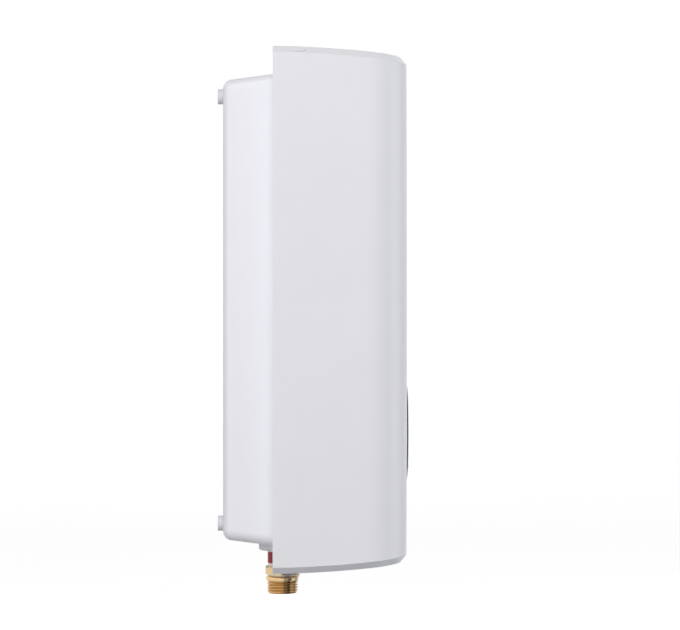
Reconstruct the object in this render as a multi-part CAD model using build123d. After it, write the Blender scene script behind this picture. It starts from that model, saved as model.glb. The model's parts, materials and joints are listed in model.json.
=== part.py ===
from build123d import *
import os
from math import cos, pi, radians, sin, sqrt

# Wall-hung tankless water heater, in millimetres.
# The origin lies in the wall plane, midway between the four wall screws. Z is up, the room is
# towards -Y, and X is to the right for someone who faces the heater. A depth is the distance
# from the wall, so y = -depth.

# Front cover
cover_rim_setback = 5.1
cover_wall = 3.0
cover_corner_radius = 24.3
cover_chamfer = 4.4
cover_bow = 0.5
crown_radius = 710.0
crown_apex_depth = 25.8
cover_notch_half_width = 13.4
cover_slot_half_width = 2.5
cover_rib_thickness = 1.6
cover_rib_height = 2.4
cover_rib_pitch = 62.0
cover_rib_end_gap = 26.0
latch_slot_length = 6.0
latch_slot_width = 0.6
latch_slot_depth = 1.0
latch_slot_setback = 14.0
latch_slot_lift = 1.1
latch_hook_length = 2.4
latch_hook_width = 1.1
latch_hook_degrees = 57.0

# Rear shell
shell_back_depth = 3.7
shell_wall = 2.5
shell_side_setback = 16.0
shell_end_setback = 21.0
shell_taper_degrees = 6.8
shell_edge_radius = 7.4
shell_back_radius = 6.2
flange_thickness = 2.5
flange_gap = 0.4
lip_setback = 3.0
lip_thickness = 2.0
lip_height = 6.0
floor_rib_height = 2.0
floor_rib_thickness = 1.8
floor_rib_half_spacing = 40.0
screw_boss_half_width = 7.0
screw_boss_reach = 11.0
screw_boss_height = 9.0

# Wall fixing
fixing_side_inset = 14.0
fixing_end_inset = 10.0
fixing_hole_radius = 2.6
spacer_radius = 5.0

# Water connections
pipe_spacing = 100.0
pipe_depth = 41.9
pipe_radius = 9.4
pipe_wall = 1.5
seat_gap = 0.05
bushing_radius = 15.6
bushing_stand_out = 4.7
bushing_height = 13.5
bushing_rounding = 0.9
seal_radius = 12.0
seal_height = 7.0
seal_recess = 1.5
sleeve_radius = 9.75
sleeve_gap = 1.3
sleeve_height = 7.4
nut_across_flats = 22.0
nut_gap = 2.6
nut_height = 4.7
nut_chamfer = 0.7
collar_radius = 10.9
collar_gap = 1.3
collar_height = 3.5
collar_chamfer = 1.0
thread_radius = 10.4775
thread_length = 8.1
thread_chamfer = 1.0
water_bore_radius = 7.5

# Heating block
block_side_wall = 12.0
block_height = 134.0
block_standoff = 5.8
block_lid_thickness = 20.1
block_rib_height = 3.0
block_rib_thickness = 2.2
block_rib_count = 6
block_edge_radius = 2.5
channel_radius = 8.0
channel_count = 6
channel_end_wall = 13.0
channel_link_radius = 4.6
port_depth = 9.0
ear_reach = 16.0
ear_height = 15.0
ear_thickness = 4.0
ear_setback = 6.0
ear_side_gap = 6.0
lid_boss_radius = 6.0
lid_boss_drop = 20.0
lid_screw_inset = 5.5

# Heating elements
element_radius = 3.2
element_stand_out = 5.0
element_end_gap = 1.2
terminal_radius = 2.6
terminal_collar = 2.0
tab_width = 6.3
tab_thickness = 0.8
tab_height = 8.0

# Screws
screw_shank_radius = 1.6
screw_head_radius = 3.3
screw_head_height = 2.2
screw_bite = 8.0
boss_radius = 5.0
cover_screw_head_radius = 4.2
cover_screw_head_height = 2.2
cover_screw_head_gap = 0.3
cover_screw_setback = 3.7
cover_screw_bite = 7.0

# Flow sensor
sensor_lift = 22.5
sensor_height = 36.0
feed_pipe_length = 50.0
sensor_radius = 14.5
sensor_socket = 9.0
chamber_radius = 10.6
chamber_height = 13.0
guide_thickness = 2.0
guide_bar_width = 2.4
axle_radius = 1.5
running_gap = 0.05
turbine_radius = 9.8
turbine_hub_radius = 3.2
turbine_end_gap = 0.5
blade_count = 6
blade_thickness = 1.2
blade_twist_degrees = 24.0
hall_width = 16.0
hall_thickness = 5.0
hall_height = 14.0

# Inlet strainer
strainer_ring_height = 2.5
strainer_height = 15.0
strainer_wall = 1.0
strainer_taper = 1.6
strainer_slot_width = 1.6
strainer_slot_count = 3
strainer_lift = 5.0

# Outlet temperature sensor
clip_width = 10.0
clip_wall = 1.2
probe_radius = 3.0
probe_length = 9.0

# Safety cut-out
cutout_side_inset = 26.0
cutout_drop = 20.0
cutout_radius = 9.5
cutout_height = 13.0
cutout_flange_radius = 12.0
cutout_flange_thickness = 1.6
cutout_neck_radius = 4.6
cutout_neck_height = 2.6
cutout_tab_offset = 6.5
button_radius = 2.6
button_gap = 0.3
button_stand_out = 3.4
button_travel = 2.5
button_depth = 7.0

# Electronics carrier and circuit board
carrier_gap = 8.0
carrier_thickness = 2.5
carrier_half_width = 70.0
carrier_lift = 10.5
carrier_drop = 28.0
carrier_rim_height = 5.0
carrier_rim_thickness = 2.0
carrier_corner_radius = 6.0
carrier_window_width = 44.0
carrier_window_height = 38.0
carrier_window_lift = 82.0
carrier_post_x = 22.0
carrier_post_lift = 9.0
board_gap = 7.5
board_thickness = 1.6
board_side_gap = 5.0
board_low_gap = 5.0
board_high_gap = 4.0
board_hole_inset = 5.0
standoff_radius = 3.6

# Parts on the circuit board
relay_count = 3
relay_pitch = 34.0
relay_width = 28.0
relay_length = 12.5
relay_height = 15.0
relay_drop = 38.0
relay_edge_bevel = 0.5
power_connector_length = 11.0
power_connector_height = 11.0
power_connector_inset = 3.0
sink_half_width = 46.0
sink_length = 22.0
sink_drop = 28.0
sink_base = 4.0
sink_height = 20.0
sink_fin_count = 12
sink_fin_thickness = 1.6
capacitor_radius = 5.0
capacitor_height = 14.0
capacitor_drop = 24.0
capacitor_x_shares = (-0.77, -0.55, 0.52, 0.77)
header_width = 16.0
header_length = 6.5
header_height = 7.0
header_wall = 1.2
header_lift = 11.0
header_x_shares = (-0.77, -0.4, 0.4, 0.77)
chip_thickness = 1.4
chip_width = 12.0
chip_place_shares = ((1.0, 1.0, 0.52, 0.29), (0.7, 0.5, -0.52, 0.33), (0.7, 0.5, -0.52, 0.235),
                     (0.85, 0.5, 0.55, 0.165))

# Temperature dial
knob_lift = 51.7
knob_radius = 32.8
knob_stand_out = 2.65
knob_face_thickness = 2.6
knob_skirt_thickness = 2.4
knob_edge_rounding = 0.9
knob_floor_gap = 0.5
knob_hub_radius = 7.5
knob_hub_length = 15.1
knob_hub_room = 9.9
knob_hub_gap = 0.06
knob_rib_count = 6
knob_rib_thickness = 1.6
dimple_radius = 9.0
dimple_depth = 1.5
dimple_offset = 12.0
pip_radius = 0.75
pip_height = 0.45
pip_offset = 24.2
pointer_width = 1.8
pointer_length = 9.0
pointer_height = 0.15
pointer_edge_gap = 3.0
dial_recess = 3.8
dial_floor_thickness = 2.5
dial_collar_radius = 11.5
dial_collar_length = 10.6
dial_ring_radius = 45.1
dial_ring_seat_gap = 0.3
dial_ring_bore_gap = 0.6
dial_ring_stand_out = 1.2
dial_ring_flat = 1.8
dial_cup_wall = 2.6
clip_groove_depth = 1.0
clip_thickness = 1.2
clip_radius = 10.0
clip_end_gap = 0.3

# Potentiometer
pot_half_width = 8.5
pot_height = 8.0
pot_bushing_radius = 4.6
pot_bushing_height = 6.0
spindle_radius = 3.0
spindle_bore_gap = 0.05
spindle_seat = 5.0
spindle_grip = 9.0
spindle_flat = 1.6
spindle_flat_length = 12.0
socket_gap = 0.12
socket_end_gap = 1.0

# Mains terminal block and cable entry
terminal_side_gap = 10.0
terminal_width = 76.0
terminal_top_room = 13.5
terminal_lead_room = 23.0
terminal_height = 22.0
terminal_standoff = 11.8
terminal_thickness = 18.0
terminal_step = 7.0
terminal_pole_count = 4
terminal_wire_radius = 2.6
terminal_screw_radius = 2.4
terminal_post_inset = 5.0
grommet_side_inset = 28.0
grommet_end_inset = 38.5
grommet_neck_radius = 8.9
grommet_bore_radius = 6.5
grommet_flange_radius = 11.5
grommet_flange_thickness = 1.2
grommet_nose = 3.0
clamp_offset = 18.0
clamp_half_span = 11.0
clamp_width = 9.0
clamp_thickness = 3.0
clamp_boss_height = 9.0
clamp_boss_radius = 3.8
clamp_arch_radius = 6.2

# Internal leads
lead_radius = 1.5
lead_drop = 6.0
lead_small_bend = 4.5
lead_large_bend = 13.0
element_lead_rise = 8.0

# Working values
overrun = 1.0
half_turn_degrees = 180.0
full_turn_degrees = 360.0

# Depths, from the wall into the room
shell_slope = sin(radians(shell_taper_degrees)) / cos(radians(shell_taper_degrees))
floor_depth = shell_back_depth + shell_wall
cover_rim_depth = pipe_depth - cover_rim_setback
flange_front = cover_rim_depth + flange_thickness
cover_screw_depth = flange_front + cover_screw_setback
terminal_rear = floor_depth + terminal_standoff
block_rear = floor_depth + block_standoff
block_front = pipe_depth + block_lid_thickness
carrier_rear = block_front + carrier_gap
carrier_front = carrier_rear + carrier_thickness
board_rear = carrier_front + board_gap
board_front = board_rear + board_thickness
pot_front = board_front + pot_height
knob_hub_rear = pot_front + pot_bushing_height + knob_hub_room
spindle_front = knob_hub_rear + spindle_grip
dial_floor_depth = knob_hub_rear + knob_hub_length
dial_cup_rear = dial_floor_depth - dial_floor_thickness
dial_collar_rear = dial_floor_depth - dial_collar_length
clip_front = dial_collar_rear - clip_end_gap
clip_rear = clip_front - clip_thickness
cover_face_depth = dial_floor_depth + dial_recess
dial_ring_front = cover_face_depth + dial_ring_stand_out
knob_front = cover_face_depth + knob_stand_out

# Widths
pipe_sides = (-pipe_spacing / 2, pipe_spacing / 2)
channel_pitch = pipe_spacing / (channel_count - 1)
channel_places = [channel_pitch * (n - (channel_count - 1) / 2) for n in range(channel_count)]
block_half_width = pipe_spacing / 2 + block_side_wall
cutout_x = block_half_width - cutout_side_inset
shell_back_half_width = block_half_width + ear_reach + ear_side_gap
cover_width = 2 * (shell_back_half_width + shell_side_setback)
fixing_spacing_x = 2 * (shell_back_half_width - fixing_side_inset)
board_half_width = carrier_half_width - board_side_gap
grommet_x = grommet_side_inset - shell_back_half_width
clamp_x = grommet_x + clamp_offset
terminal_left = clamp_x + terminal_side_gap
terminal_right = terminal_left + terminal_width

# Heights, about the middle of the shell's back
shell_back_half_height = (sensor_lift + sensor_height + feed_pipe_length + block_height
                          + terminal_lead_room + terminal_height + terminal_top_room) / 2
crown_top = shell_back_half_height + shell_end_setback
fixing_spacing_z = 2 * (shell_back_half_height - fixing_end_inset)
sensor_bottom = sensor_lift - shell_back_half_height
sensor_top = sensor_bottom + sensor_height
sensor_mid = (sensor_bottom + sensor_top) / 2
clip_z = sensor_top
block_bottom = sensor_top + feed_pipe_length
block_top = block_bottom + block_height
element_bend_z = (block_bottom + channel_end_wall + element_end_gap + element_radius
                  + channel_pitch / 2)
terminal_low = block_top + terminal_lead_room
terminal_high = terminal_low + terminal_height
terminal_z = (terminal_low + terminal_high) / 2
grommet_z = shell_back_half_height - grommet_end_inset
cutout_z = block_top - cutout_drop
carrier_top = cutout_z - carrier_drop
carrier_bottom = carrier_lift - shell_back_half_height
carrier_post_z = carrier_bottom + carrier_post_lift
carrier_window_z = carrier_bottom + carrier_window_lift
lid_boss_z = carrier_top - lid_boss_drop
board_top = carrier_top - board_high_gap
board_bottom = carrier_bottom + board_low_gap
relay_z = board_top - relay_drop
sink_z = relay_z - sink_drop
capacitor_z = sink_z - capacitor_drop
header_z = board_bottom + header_lift
knob_z = board_bottom + knob_lift
bushing_bottom = -(shell_back_half_height + (pipe_depth - shell_back_depth) * shell_slope
                   + bushing_stand_out)
sleeve_bottom = bushing_bottom - sleeve_gap - sleeve_height
nut_top = sleeve_bottom - nut_gap
collar_top = nut_top - nut_height - collar_gap
thread_end = collar_top - collar_height - thread_length


def slab(x_low, x_high, rear, front, z_low, z_high):
    """Block between two x values, two depths and two heights."""
    centre = Pos((x_low + x_high) / 2, -(rear + front) / 2, (z_low + z_high) / 2)
    return centre * Box(x_high - x_low, front - rear, z_high - z_low)


def peg(radius, rear, front, x, z):
    """Round bar that points from the wall into the room."""
    return Pos(x, -(rear + front) / 2, z) * Rot(90, 0, 0) * Cylinder(radius, front - rear)


def column(radius, z_low, z_high, x, depth):
    """Upright round bar."""
    return Pos(x, -depth, (z_low + z_high) / 2) * Cylinder(radius, z_high - z_low)


def upright_plate(outline, rear, front):
    """Flat outline drawn in X and Z, given its thickness between two depths."""
    return extrude(Plane.XZ.offset(rear) * outline, amount=front - rear)


def crown_height(depth, inset):
    """Half height of the cover at a depth, on its skin or a wall's thickness below it."""
    reach = crown_radius - inset
    return crown_top - crown_radius + sqrt(reach ** 2 - (depth - crown_apex_depth) ** 2)


def chamfer_below(inset):
    """Chamfer that keeps its distance from the cover's outer one."""
    return cover_chamfer - inset * (2 - sqrt(2))


def cover_form(inset, rear):
    """The cover's outer body, or its hollow when the inset is the wall."""
    half_width = cover_width / 2 - inset
    front = cover_face_depth - inset
    plan = Pos(0, -(rear + front) / 2) * Rectangle(2 * half_width, front - rear)
    plan = fillet(plan.vertices().group_by(Axis.Y)[0], cover_corner_radius - inset)
    upright = extrude(plan, amount=crown_top + overrun, both=True)

    edge = front - cover_bow
    middle = (rear + edge) / 2
    with BuildSketch(Plane.YZ) as side:
        with BuildLine():
            top_rear = (-rear, crown_height(rear, inset))
            top_front = (-edge, crown_height(edge, inset))
            low_rear = (-rear, -crown_height(rear, inset))
            low_front = (-edge, -crown_height(edge, inset))
            ThreePointArc(top_rear, (-middle, crown_height(middle, inset)), top_front)
            ThreePointArc(top_front, (-front, 0), low_front)
            ThreePointArc(low_front, (-middle, -crown_height(middle, inset)), low_rear)
            Line(low_rear, top_rear)
        make_face()
    crowned = extrude(side.sketch, amount=cover_width, both=True)
    body = upright & crowned

    faces = body.faces().sort_by(Axis.Z)
    rims = [edge for face in (faces[0], faces[-1]) for edge in face.edges().sort_by(Axis.Y)[:-1]]
    return chamfer(rims, chamfer_below(inset))


def rim_outline(inset):
    """The cover's section at its rear rim, drawn in X and Z."""
    half_width = cover_width / 2 - inset
    half_height = crown_height(cover_rim_depth, inset)
    plain = Rectangle(2 * half_width, 2 * half_height)
    return chamfer(plain.vertices(), chamfer_below(inset))


def tub_section(depth, inset):
    """Rounded section of the tapered rear box at a depth."""
    spread = (depth - shell_back_depth) * shell_slope - inset
    outline = RectangleRounded(2 * (shell_back_half_width + spread),
                               2 * (shell_back_half_height + spread), shell_edge_radius - inset)
    return Plane.XZ.offset(depth) * outline


def corner_pegs(radius, rear, front, x, z):
    """Four round bars, mirrored about the middle of the heater."""
    return [peg(radius, rear, front, side * x, level * z) for side in (-1, 1) for level in (-1, 1)]


def wall_holes(rear, front):
    """The four holes for the wall screws."""
    return corner_pegs(fixing_hole_radius, rear, front, fixing_spacing_x / 2, fixing_spacing_z / 2)


def ear_points():
    """Screw centres of the heating block's ears, in X and Z."""
    x = block_half_width + ear_reach / 2
    low = block_bottom + ear_setback + ear_height / 2
    high = block_top - ear_setback - ear_height / 2
    return [(side * x, z) for side in (-1, 1) for z in (low, high)]


def terminal_points():
    """Screw centres of the mains terminal block, in X and Z."""
    return [(terminal_left + terminal_post_inset, terminal_z),
            (terminal_right - terminal_post_inset, terminal_z)]


def clamp_points():
    """Screw centres of the cable clamp, in X and Z."""
    return [(clamp_x, grommet_z - clamp_half_span), (clamp_x, grommet_z + clamp_half_span)]


def carrier_points():
    """Posts of the shell and bosses of the block that hold the carrier, in X and Z."""
    return [(side * x, z) for side in (-1, 1) for x, z in
            ((carrier_post_x, carrier_post_z), (channel_places[-1], lid_boss_z))]


def board_points():
    """Screw centres of the circuit board, in X and Z."""
    x = board_half_width - board_hole_inset
    return [(side * x, z) for side in (-1, 1)
            for z in (board_bottom + board_hole_inset, board_top - board_hole_inset)]


def drilled(front, points):
    """Blind holes for the screws that bite behind a front depth."""
    return [peg(screw_shank_radius + seat_gap, front - screw_bite - seat_gap, front + overrun, x, z)
            for x, z in points]


def screws(front, grip, points):
    """Pan-head screws whose heads sit on a plate of a given grip in front of their bosses."""
    made = []
    for x, z in points:
        head = peg(screw_head_radius, front + grip, front + grip + screw_head_height, x, z)
        shank = peg(screw_shank_radius, front - screw_bite, front + grip, x, z)
        made.append(head + shank)
    return made


def cleared(points, rear, front):
    """Clearance holes through a plate for its screws."""
    return [peg(screw_shank_radius + seat_gap, rear - overrun, front + overrun, x, z)
            for x, z in points]


def rear_shell():
    """Tapered wall box with its flange, lip, bushings, bosses, ribs and holes."""
    tub = loft([tub_section(shell_back_depth, 0), tub_section(flange_front, 0)], ruled=True)
    tub = fillet(tub.faces().sort_by(Axis.Y)[-1].edges(), shell_back_radius)
    flange = upright_plate(rim_outline(cover_wall + flange_gap), cover_rim_depth, flange_front)
    lip_face = rim_outline(cover_wall + flange_gap + lip_setback)
    lip = upright_plate(lip_face - offset(lip_face, amount=-lip_thickness), flange_front,
                        flange_front + lip_height)
    boss_low = -crown_height(cover_rim_depth, cover_wall + 2 * flange_gap)
    screw_boss = slab(-screw_boss_half_width, screw_boss_half_width, cover_rim_depth,
                      cover_rim_depth + screw_boss_reach, boss_low, boss_low + screw_boss_height)
    shell = tub + flange + lip + screw_boss

    for x in pipe_sides:
        clear = slab(x - cover_notch_half_width, x + cover_notch_half_width,
                     cover_rim_depth - overrun, flange_front + lip_height + overrun,
                     -crown_top, bushing_bottom)
        shell = shell - clear

    hollow = loft([tub_section(floor_depth, shell_wall),
                   tub_section(flange_front + overrun, shell_wall)], ruled=True)
    shell = shell - hollow

    inner_z = shell_back_half_height - shell_wall
    rib_low = carrier_bottom + shell_wall
    for side in (-1, 1):
        x = side * floor_rib_half_spacing
        shell = shell + slab(x - floor_rib_thickness / 2, x + floor_rib_thickness / 2,
                             floor_depth - shell_wall / 2, floor_depth + floor_rib_height,
                             rib_low, block_top)
    for z in (rib_low, sensor_mid, block_bottom, block_top):
        shell = shell + slab(-floor_rib_half_spacing, floor_rib_half_spacing,
                             floor_depth - shell_wall / 2, floor_depth + floor_rib_height,
                             z - floor_rib_thickness / 2, z + floor_rib_thickness / 2)

    for x in pipe_sides:
        bushing = column(bushing_radius, bushing_bottom, bushing_bottom + bushing_height,
                         x, pipe_depth)
        bushing = fillet(bushing.edges().sort_by(Axis.Z)[:1], bushing_rounding)
        shell = shell + bushing
    for x in pipe_sides:
        bushing_top = bushing_bottom + bushing_height
        shell = shell - column(seal_radius, bushing_bottom + seal_recess, bushing_top + overrun,
                               x, pipe_depth)
        shell = shell - column(pipe_radius + seat_gap, bushing_bottom - overrun,
                               bushing_top, x, pipe_depth)

    start = floor_depth - shell_wall / 2
    for x, z in ear_points():
        shell = shell + peg(boss_radius, start, block_rear, x, z)
    for x, z in terminal_points():
        shell = shell + peg(boss_radius, start, terminal_rear, x, z)
    for x, z in clamp_points():
        shell = shell + peg(clamp_boss_radius, start, floor_depth + clamp_boss_height, x, z)
    for side in (-1, 1):
        shell = shell + peg(boss_radius, start, carrier_rear, side * carrier_post_x,
                            carrier_post_z)
    posts = [(side * carrier_post_x, carrier_post_z) for side in (-1, 1)]
    cuts = wall_holes(shell_back_depth - overrun, floor_depth + overrun)
    cuts += drilled(terminal_rear, terminal_points())
    cuts += drilled(carrier_rear, posts)
    cuts += drilled(floor_depth + clamp_boss_height, clamp_points())
    cuts += drilled(block_rear, ear_points())
    cuts.append(peg(grommet_neck_radius + seat_gap, shell_back_depth - overrun,
                    floor_depth + overrun, grommet_x, grommet_z))
    cuts.append(peg(grommet_flange_radius + seat_gap, shell_back_depth - overrun,
                    shell_back_depth + grommet_flange_thickness, grommet_x, grommet_z))
    cuts.append(column(screw_shank_radius + seat_gap, boss_low - overrun,
                       boss_low + cover_screw_bite, 0, cover_screw_depth))
    for cut in cuts:
        shell = shell - cut
    return shell


def wall_spacers():
    """Hollow round feet that hold the shell off the wall, one round each wall screw."""
    feet = corner_pegs(spacer_radius, 0, shell_back_depth, fixing_spacing_x / 2,
                       fixing_spacing_z / 2)
    holes = wall_holes(-overrun, shell_back_depth + overrun)
    return [foot - hole for foot, hole in zip(feet, holes)]


def water_ways():
    """The channels inside the heating block, with their links and the two pipe ports."""
    low = block_bottom + channel_end_wall
    high = block_top - channel_end_wall
    ways = [column(channel_radius, low, high, x, pipe_depth) for x in channel_places]
    for n in range(channel_count - 1):
        left, right = channel_places[n], channel_places[n + 1]
        if n % 2 == 0:
            ways.append(slab(left, right, pipe_depth - channel_link_radius,
                             pipe_depth + channel_link_radius, low, element_bend_z))
        else:
            link = Pos((left + right) / 2, -pipe_depth, high - channel_radius) * Rot(0, 90, 0)
            ways.append(link * Cylinder(channel_link_radius, channel_pitch))
    for x in pipe_sides:
        ways.append(column(pipe_radius + seat_gap, block_bottom - overrun,
                           block_bottom + port_depth, x, pipe_depth))
        ways.append(column(pipe_radius - pipe_wall, block_bottom, low + overrun, x, pipe_depth))
    for x in channel_places:
        ways.append(column(element_radius + seat_gap, high - overrun, block_top + overrun, x,
                           pipe_depth))
    return ways


def block_half(rear, front):
    """One moulded half of the heating block with its share of the water ways."""
    half = slab(-block_half_width, block_half_width, rear, front, block_bottom, block_top)
    half = fillet(half.edges().filter_by(Axis.Y), block_edge_radius)
    for way in water_ways():
        half = half - way
    return half


def lid_points():
    """Screw centres along the two long sides of the block's lid, in X and Z."""
    x = block_half_width - lid_screw_inset / 2
    span = block_top - block_bottom - 2 * lid_screw_inset
    rows = 3
    return [(side * x, block_bottom + lid_screw_inset + span * n / (rows - 1))
            for side in (-1, 1) for n in range(rows)]


def heating_block():
    """Rear half of the heating block, with the ears that screw to the shell."""
    half = block_half(block_rear, pipe_depth)
    for side in (-1, 1):
        for x, z in ear_points():
            if x * side > 0:
                inner = side * (block_half_width - overrun)
                outer = side * (block_half_width + ear_reach)
                half = half + slab(min(inner, outer), max(inner, outer), block_rear,
                                   block_rear + ear_thickness, z - ear_height / 2,
                                   z + ear_height / 2)
    for hole in cleared(ear_points(), block_rear, block_rear + ear_thickness):
        half = half - hole
    return half


def heating_block_lid():
    """Front half of the heating block, ribbed, with two bosses for the electronics."""
    lid = block_half(pipe_depth, block_front)
    span = block_half_width - lid_screw_inset - block_rib_thickness
    outer_rib = span - lid_screw_inset
    for n in range(block_rib_count):
        x = outer_rib * (2 * n / (block_rib_count - 1) - 1)
        lid = lid + slab(x - block_rib_thickness / 2, x + block_rib_thickness / 2,
                         block_front - overrun, block_front + block_rib_height,
                         block_bottom + lid_screw_inset, block_top - lid_screw_inset)
    for z in (block_bottom + channel_end_wall, (block_bottom + block_top) / 2,
              block_top - channel_end_wall):
        lid = lid + slab(-span, span, block_front - overrun, block_front + block_rib_height / 2,
                         z - block_rib_thickness / 2, z + block_rib_thickness / 2)
    bosses = [(side * channel_places[-1], lid_boss_z) for side in (-1, 1)]
    for x, z in bosses:
        lid = lid + peg(lid_boss_radius, block_front - overrun, carrier_rear, x, z)
    lid = lid + peg(cutout_flange_radius, block_front - overrun, block_front + block_rib_height,
                    cutout_x, cutout_z)
    for hole in drilled(carrier_rear, bosses) + drilled(block_front, lid_points()):
        lid = lid - hole
    return lid


def heating_elements():
    """Three tubular elements, each a U whose ends come out of the top of the block."""
    made = []
    for n in range(0, channel_count, 2):
        left, right = channel_places[n], channel_places[n + 1]
        ring = Pos((left + right) / 2, -pipe_depth, element_bend_z) * Rot(90, 0, 0) * Torus(
            channel_pitch / 2, element_radius)
        below = slab(left - channel_pitch, right + channel_pitch, block_rear, block_front,
                     block_bottom, element_bend_z)
        legs = [column(element_radius, element_bend_z, block_top + element_stand_out, x, pipe_depth)
                for x in (left, right)]
        made.append((ring & below) + legs[0] + legs[1])
    return made


def element_terminals():
    """Brass collars with push-on tabs on the ends of the elements."""
    made = []
    low = block_top + element_stand_out
    for x in channel_places:
        base = column(terminal_radius, low, low + terminal_collar, x, pipe_depth)
        tab = slab(x - tab_width / 2, x + tab_width / 2, pipe_depth - tab_thickness / 2,
                   pipe_depth + tab_thickness / 2, low + terminal_collar - overrun,
                   low + terminal_collar + tab_height)
        made.append(base + tab)
    return made


def outlet_pipe():
    """Straight hot pipe from the threaded end up to the heating block."""
    return tube(collar_top - collar_height / 2, block_bottom + port_depth - seat_gap,
                pipe_sides[0])


def tube(z_low, z_high, x):
    """Piece of water pipe."""
    pipe = column(pipe_radius, z_low, z_high, x, pipe_depth)
    return pipe - column(pipe_radius - pipe_wall, z_low - overrun, z_high + overrun, x,
                         pipe_depth)


def inlet_pipe():
    """Cold pipe from the threaded end up to the flow sensor."""
    return tube(collar_top - collar_height / 2, sensor_bottom + sensor_socket - seat_gap,
                pipe_sides[1])


def feed_pipe():
    """Cold pipe from the flow sensor up to the heating block."""
    return tube(sensor_top - sensor_socket + seat_gap, block_bottom + port_depth - seat_gap,
                pipe_sides[1])


def pipe_seals():
    """Rubber rings that close the shell round the pipes."""
    low = bushing_bottom + seal_recess
    return [column(seal_radius - seat_gap, low, low + seal_height, x, pipe_depth)
            - column(pipe_radius + seat_gap, low - overrun, low + seal_height + overrun, x,
                     pipe_depth) for x in pipe_sides]


def marker_sleeve(x):
    """Coloured sleeve that marks a pipe as hot or cold."""
    high = sleeve_bottom + sleeve_height
    return (column(sleeve_radius, sleeve_bottom, high, x, pipe_depth)
            - column(pipe_radius + seat_gap, sleeve_bottom - overrun, high + overrun, x,
                     pipe_depth))


def union_nut(x):
    """Hexagonal union nut with bevelled corners, flats to the wall and to the room."""
    corner = nut_across_flats / 2 / cos(pi / 6)
    low = nut_top - nut_height
    hexagon = extrude(RegularPolygon(corner, 6), amount=nut_height)
    nut = Pos(x, -pipe_depth, low) * hexagon
    bevel = column(corner, low, nut_top, x, pipe_depth)
    bevel = chamfer(bevel.edges().filter_by(GeomType.CIRCLE), nut_chamfer)
    return (nut & bevel) - column(pipe_radius + seat_gap, low - overrun, nut_top + overrun, x,
                                  pipe_depth)


def nipple(x):
    """Threaded end with its collar; the thread is drawn at its outer diameter."""
    low_collar = collar_top - collar_height
    collar = column(collar_radius, low_collar, collar_top, x, pipe_depth)
    collar = chamfer(collar.edges().sort_by(Axis.Z)[-1:], collar_chamfer)
    thread = column(thread_radius, thread_end, low_collar, x, pipe_depth)
    thread = chamfer(thread.edges().sort_by(Axis.Z)[:1], thread_chamfer)
    body = collar + thread
    body = body - column(water_bore_radius, thread_end - overrun, collar_top + overrun, x,
                         pipe_depth)
    seat = collar_top - collar_height / 2
    return body - column(pipe_radius + seat_gap, seat, collar_top + overrun, x, pipe_depth)


def sensor_body():
    """Flow sensor housing: a socket at each end and a chamber for the turbine."""
    x = pipe_sides[1]
    shell = column(sensor_radius, sensor_bottom, sensor_top, x, pipe_depth)
    flat = pipe_depth + sensor_radius
    shell = shell + slab(x - hall_width / 2, x + hall_width / 2, pipe_depth, flat,
                         sensor_mid - hall_height / 2, sensor_mid + hall_height / 2)
    cuts = [column(pipe_radius + seat_gap, sensor_bottom - overrun,
                   sensor_bottom + sensor_socket, x, pipe_depth),
            column(pipe_radius + seat_gap, sensor_top - sensor_socket, sensor_top + overrun,
                   x, pipe_depth),
            column(pipe_radius - pipe_wall, sensor_bottom, sensor_top, x, pipe_depth),
            column(chamber_radius, sensor_mid - chamber_height / 2,
                   sensor_mid + chamber_height / 2, x, pipe_depth)]
    for cut in cuts:
        shell = shell - cut
    return shell


def turbine_guides():
    """Two bars across the chamber that hold the turbine's axle."""
    x = pipe_sides[1]
    made = []
    for side in (-1, 1):
        outer = sensor_mid + side * chamber_height / 2
        inner = outer - side * guide_thickness
        low, high = min(outer, inner), max(outer, inner)
        ring = column(chamber_radius - seat_gap, low, high, x, pipe_depth)
        ring = ring - column(pipe_radius - pipe_wall, low - overrun, high + overrun, x,
                             pipe_depth)
        bar = slab(x - pipe_radius, x + pipe_radius, pipe_depth - guide_bar_width,
                   pipe_depth + guide_bar_width, low, high)
        hole = column(axle_radius, low - overrun, high + overrun, x, pipe_depth)
        made.append(ring + bar - hole)
    return made


def turbine_axle():
    """Steel pin that the turbine turns on."""
    return column(axle_radius, sensor_mid - chamber_height / 2,
                  sensor_mid + chamber_height / 2, pipe_sides[1], pipe_depth)


def flow_turbine():
    """Turbine wheel with twisted blades round its hub."""
    x = pipe_sides[1]
    half = chamber_height / 2 - guide_thickness - turbine_end_gap
    hub = Cylinder(turbine_hub_radius, 2 * half)
    wheel = hub
    for n in range(blade_count):
        turn = full_turn_degrees * n / blade_count
        sections = []
        for side in (-1, 1):
            outline = Pos((turbine_hub_radius + turbine_radius) / 2, 0) * Rectangle(
                turbine_radius - turbine_hub_radius + overrun, blade_thickness)
            sections.append(Pos(0, 0, side * half) * Rot(
                0, 0, turn + side * blade_twist_degrees / 2) * outline)
        wheel = wheel + loft(sections, ruled=True)
    wheel = wheel & Cylinder(turbine_radius, 2 * half)
    wheel = wheel - Cylinder(axle_radius + running_gap, 2 * half + overrun)
    return Pos(x, -pipe_depth, sensor_mid) * wheel


def hall_sensor():
    """Pick-up that counts the turbine's turns, on the front of the housing."""
    x = pipe_sides[1]
    rear = pipe_depth + sensor_radius
    body = slab(x - hall_width / 2, x + hall_width / 2, rear, rear + hall_thickness,
                sensor_mid - hall_height / 2, sensor_mid + hall_height / 2)
    return fillet(body.edges().filter_by(Axis.Y), hall_thickness / 4)


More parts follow.
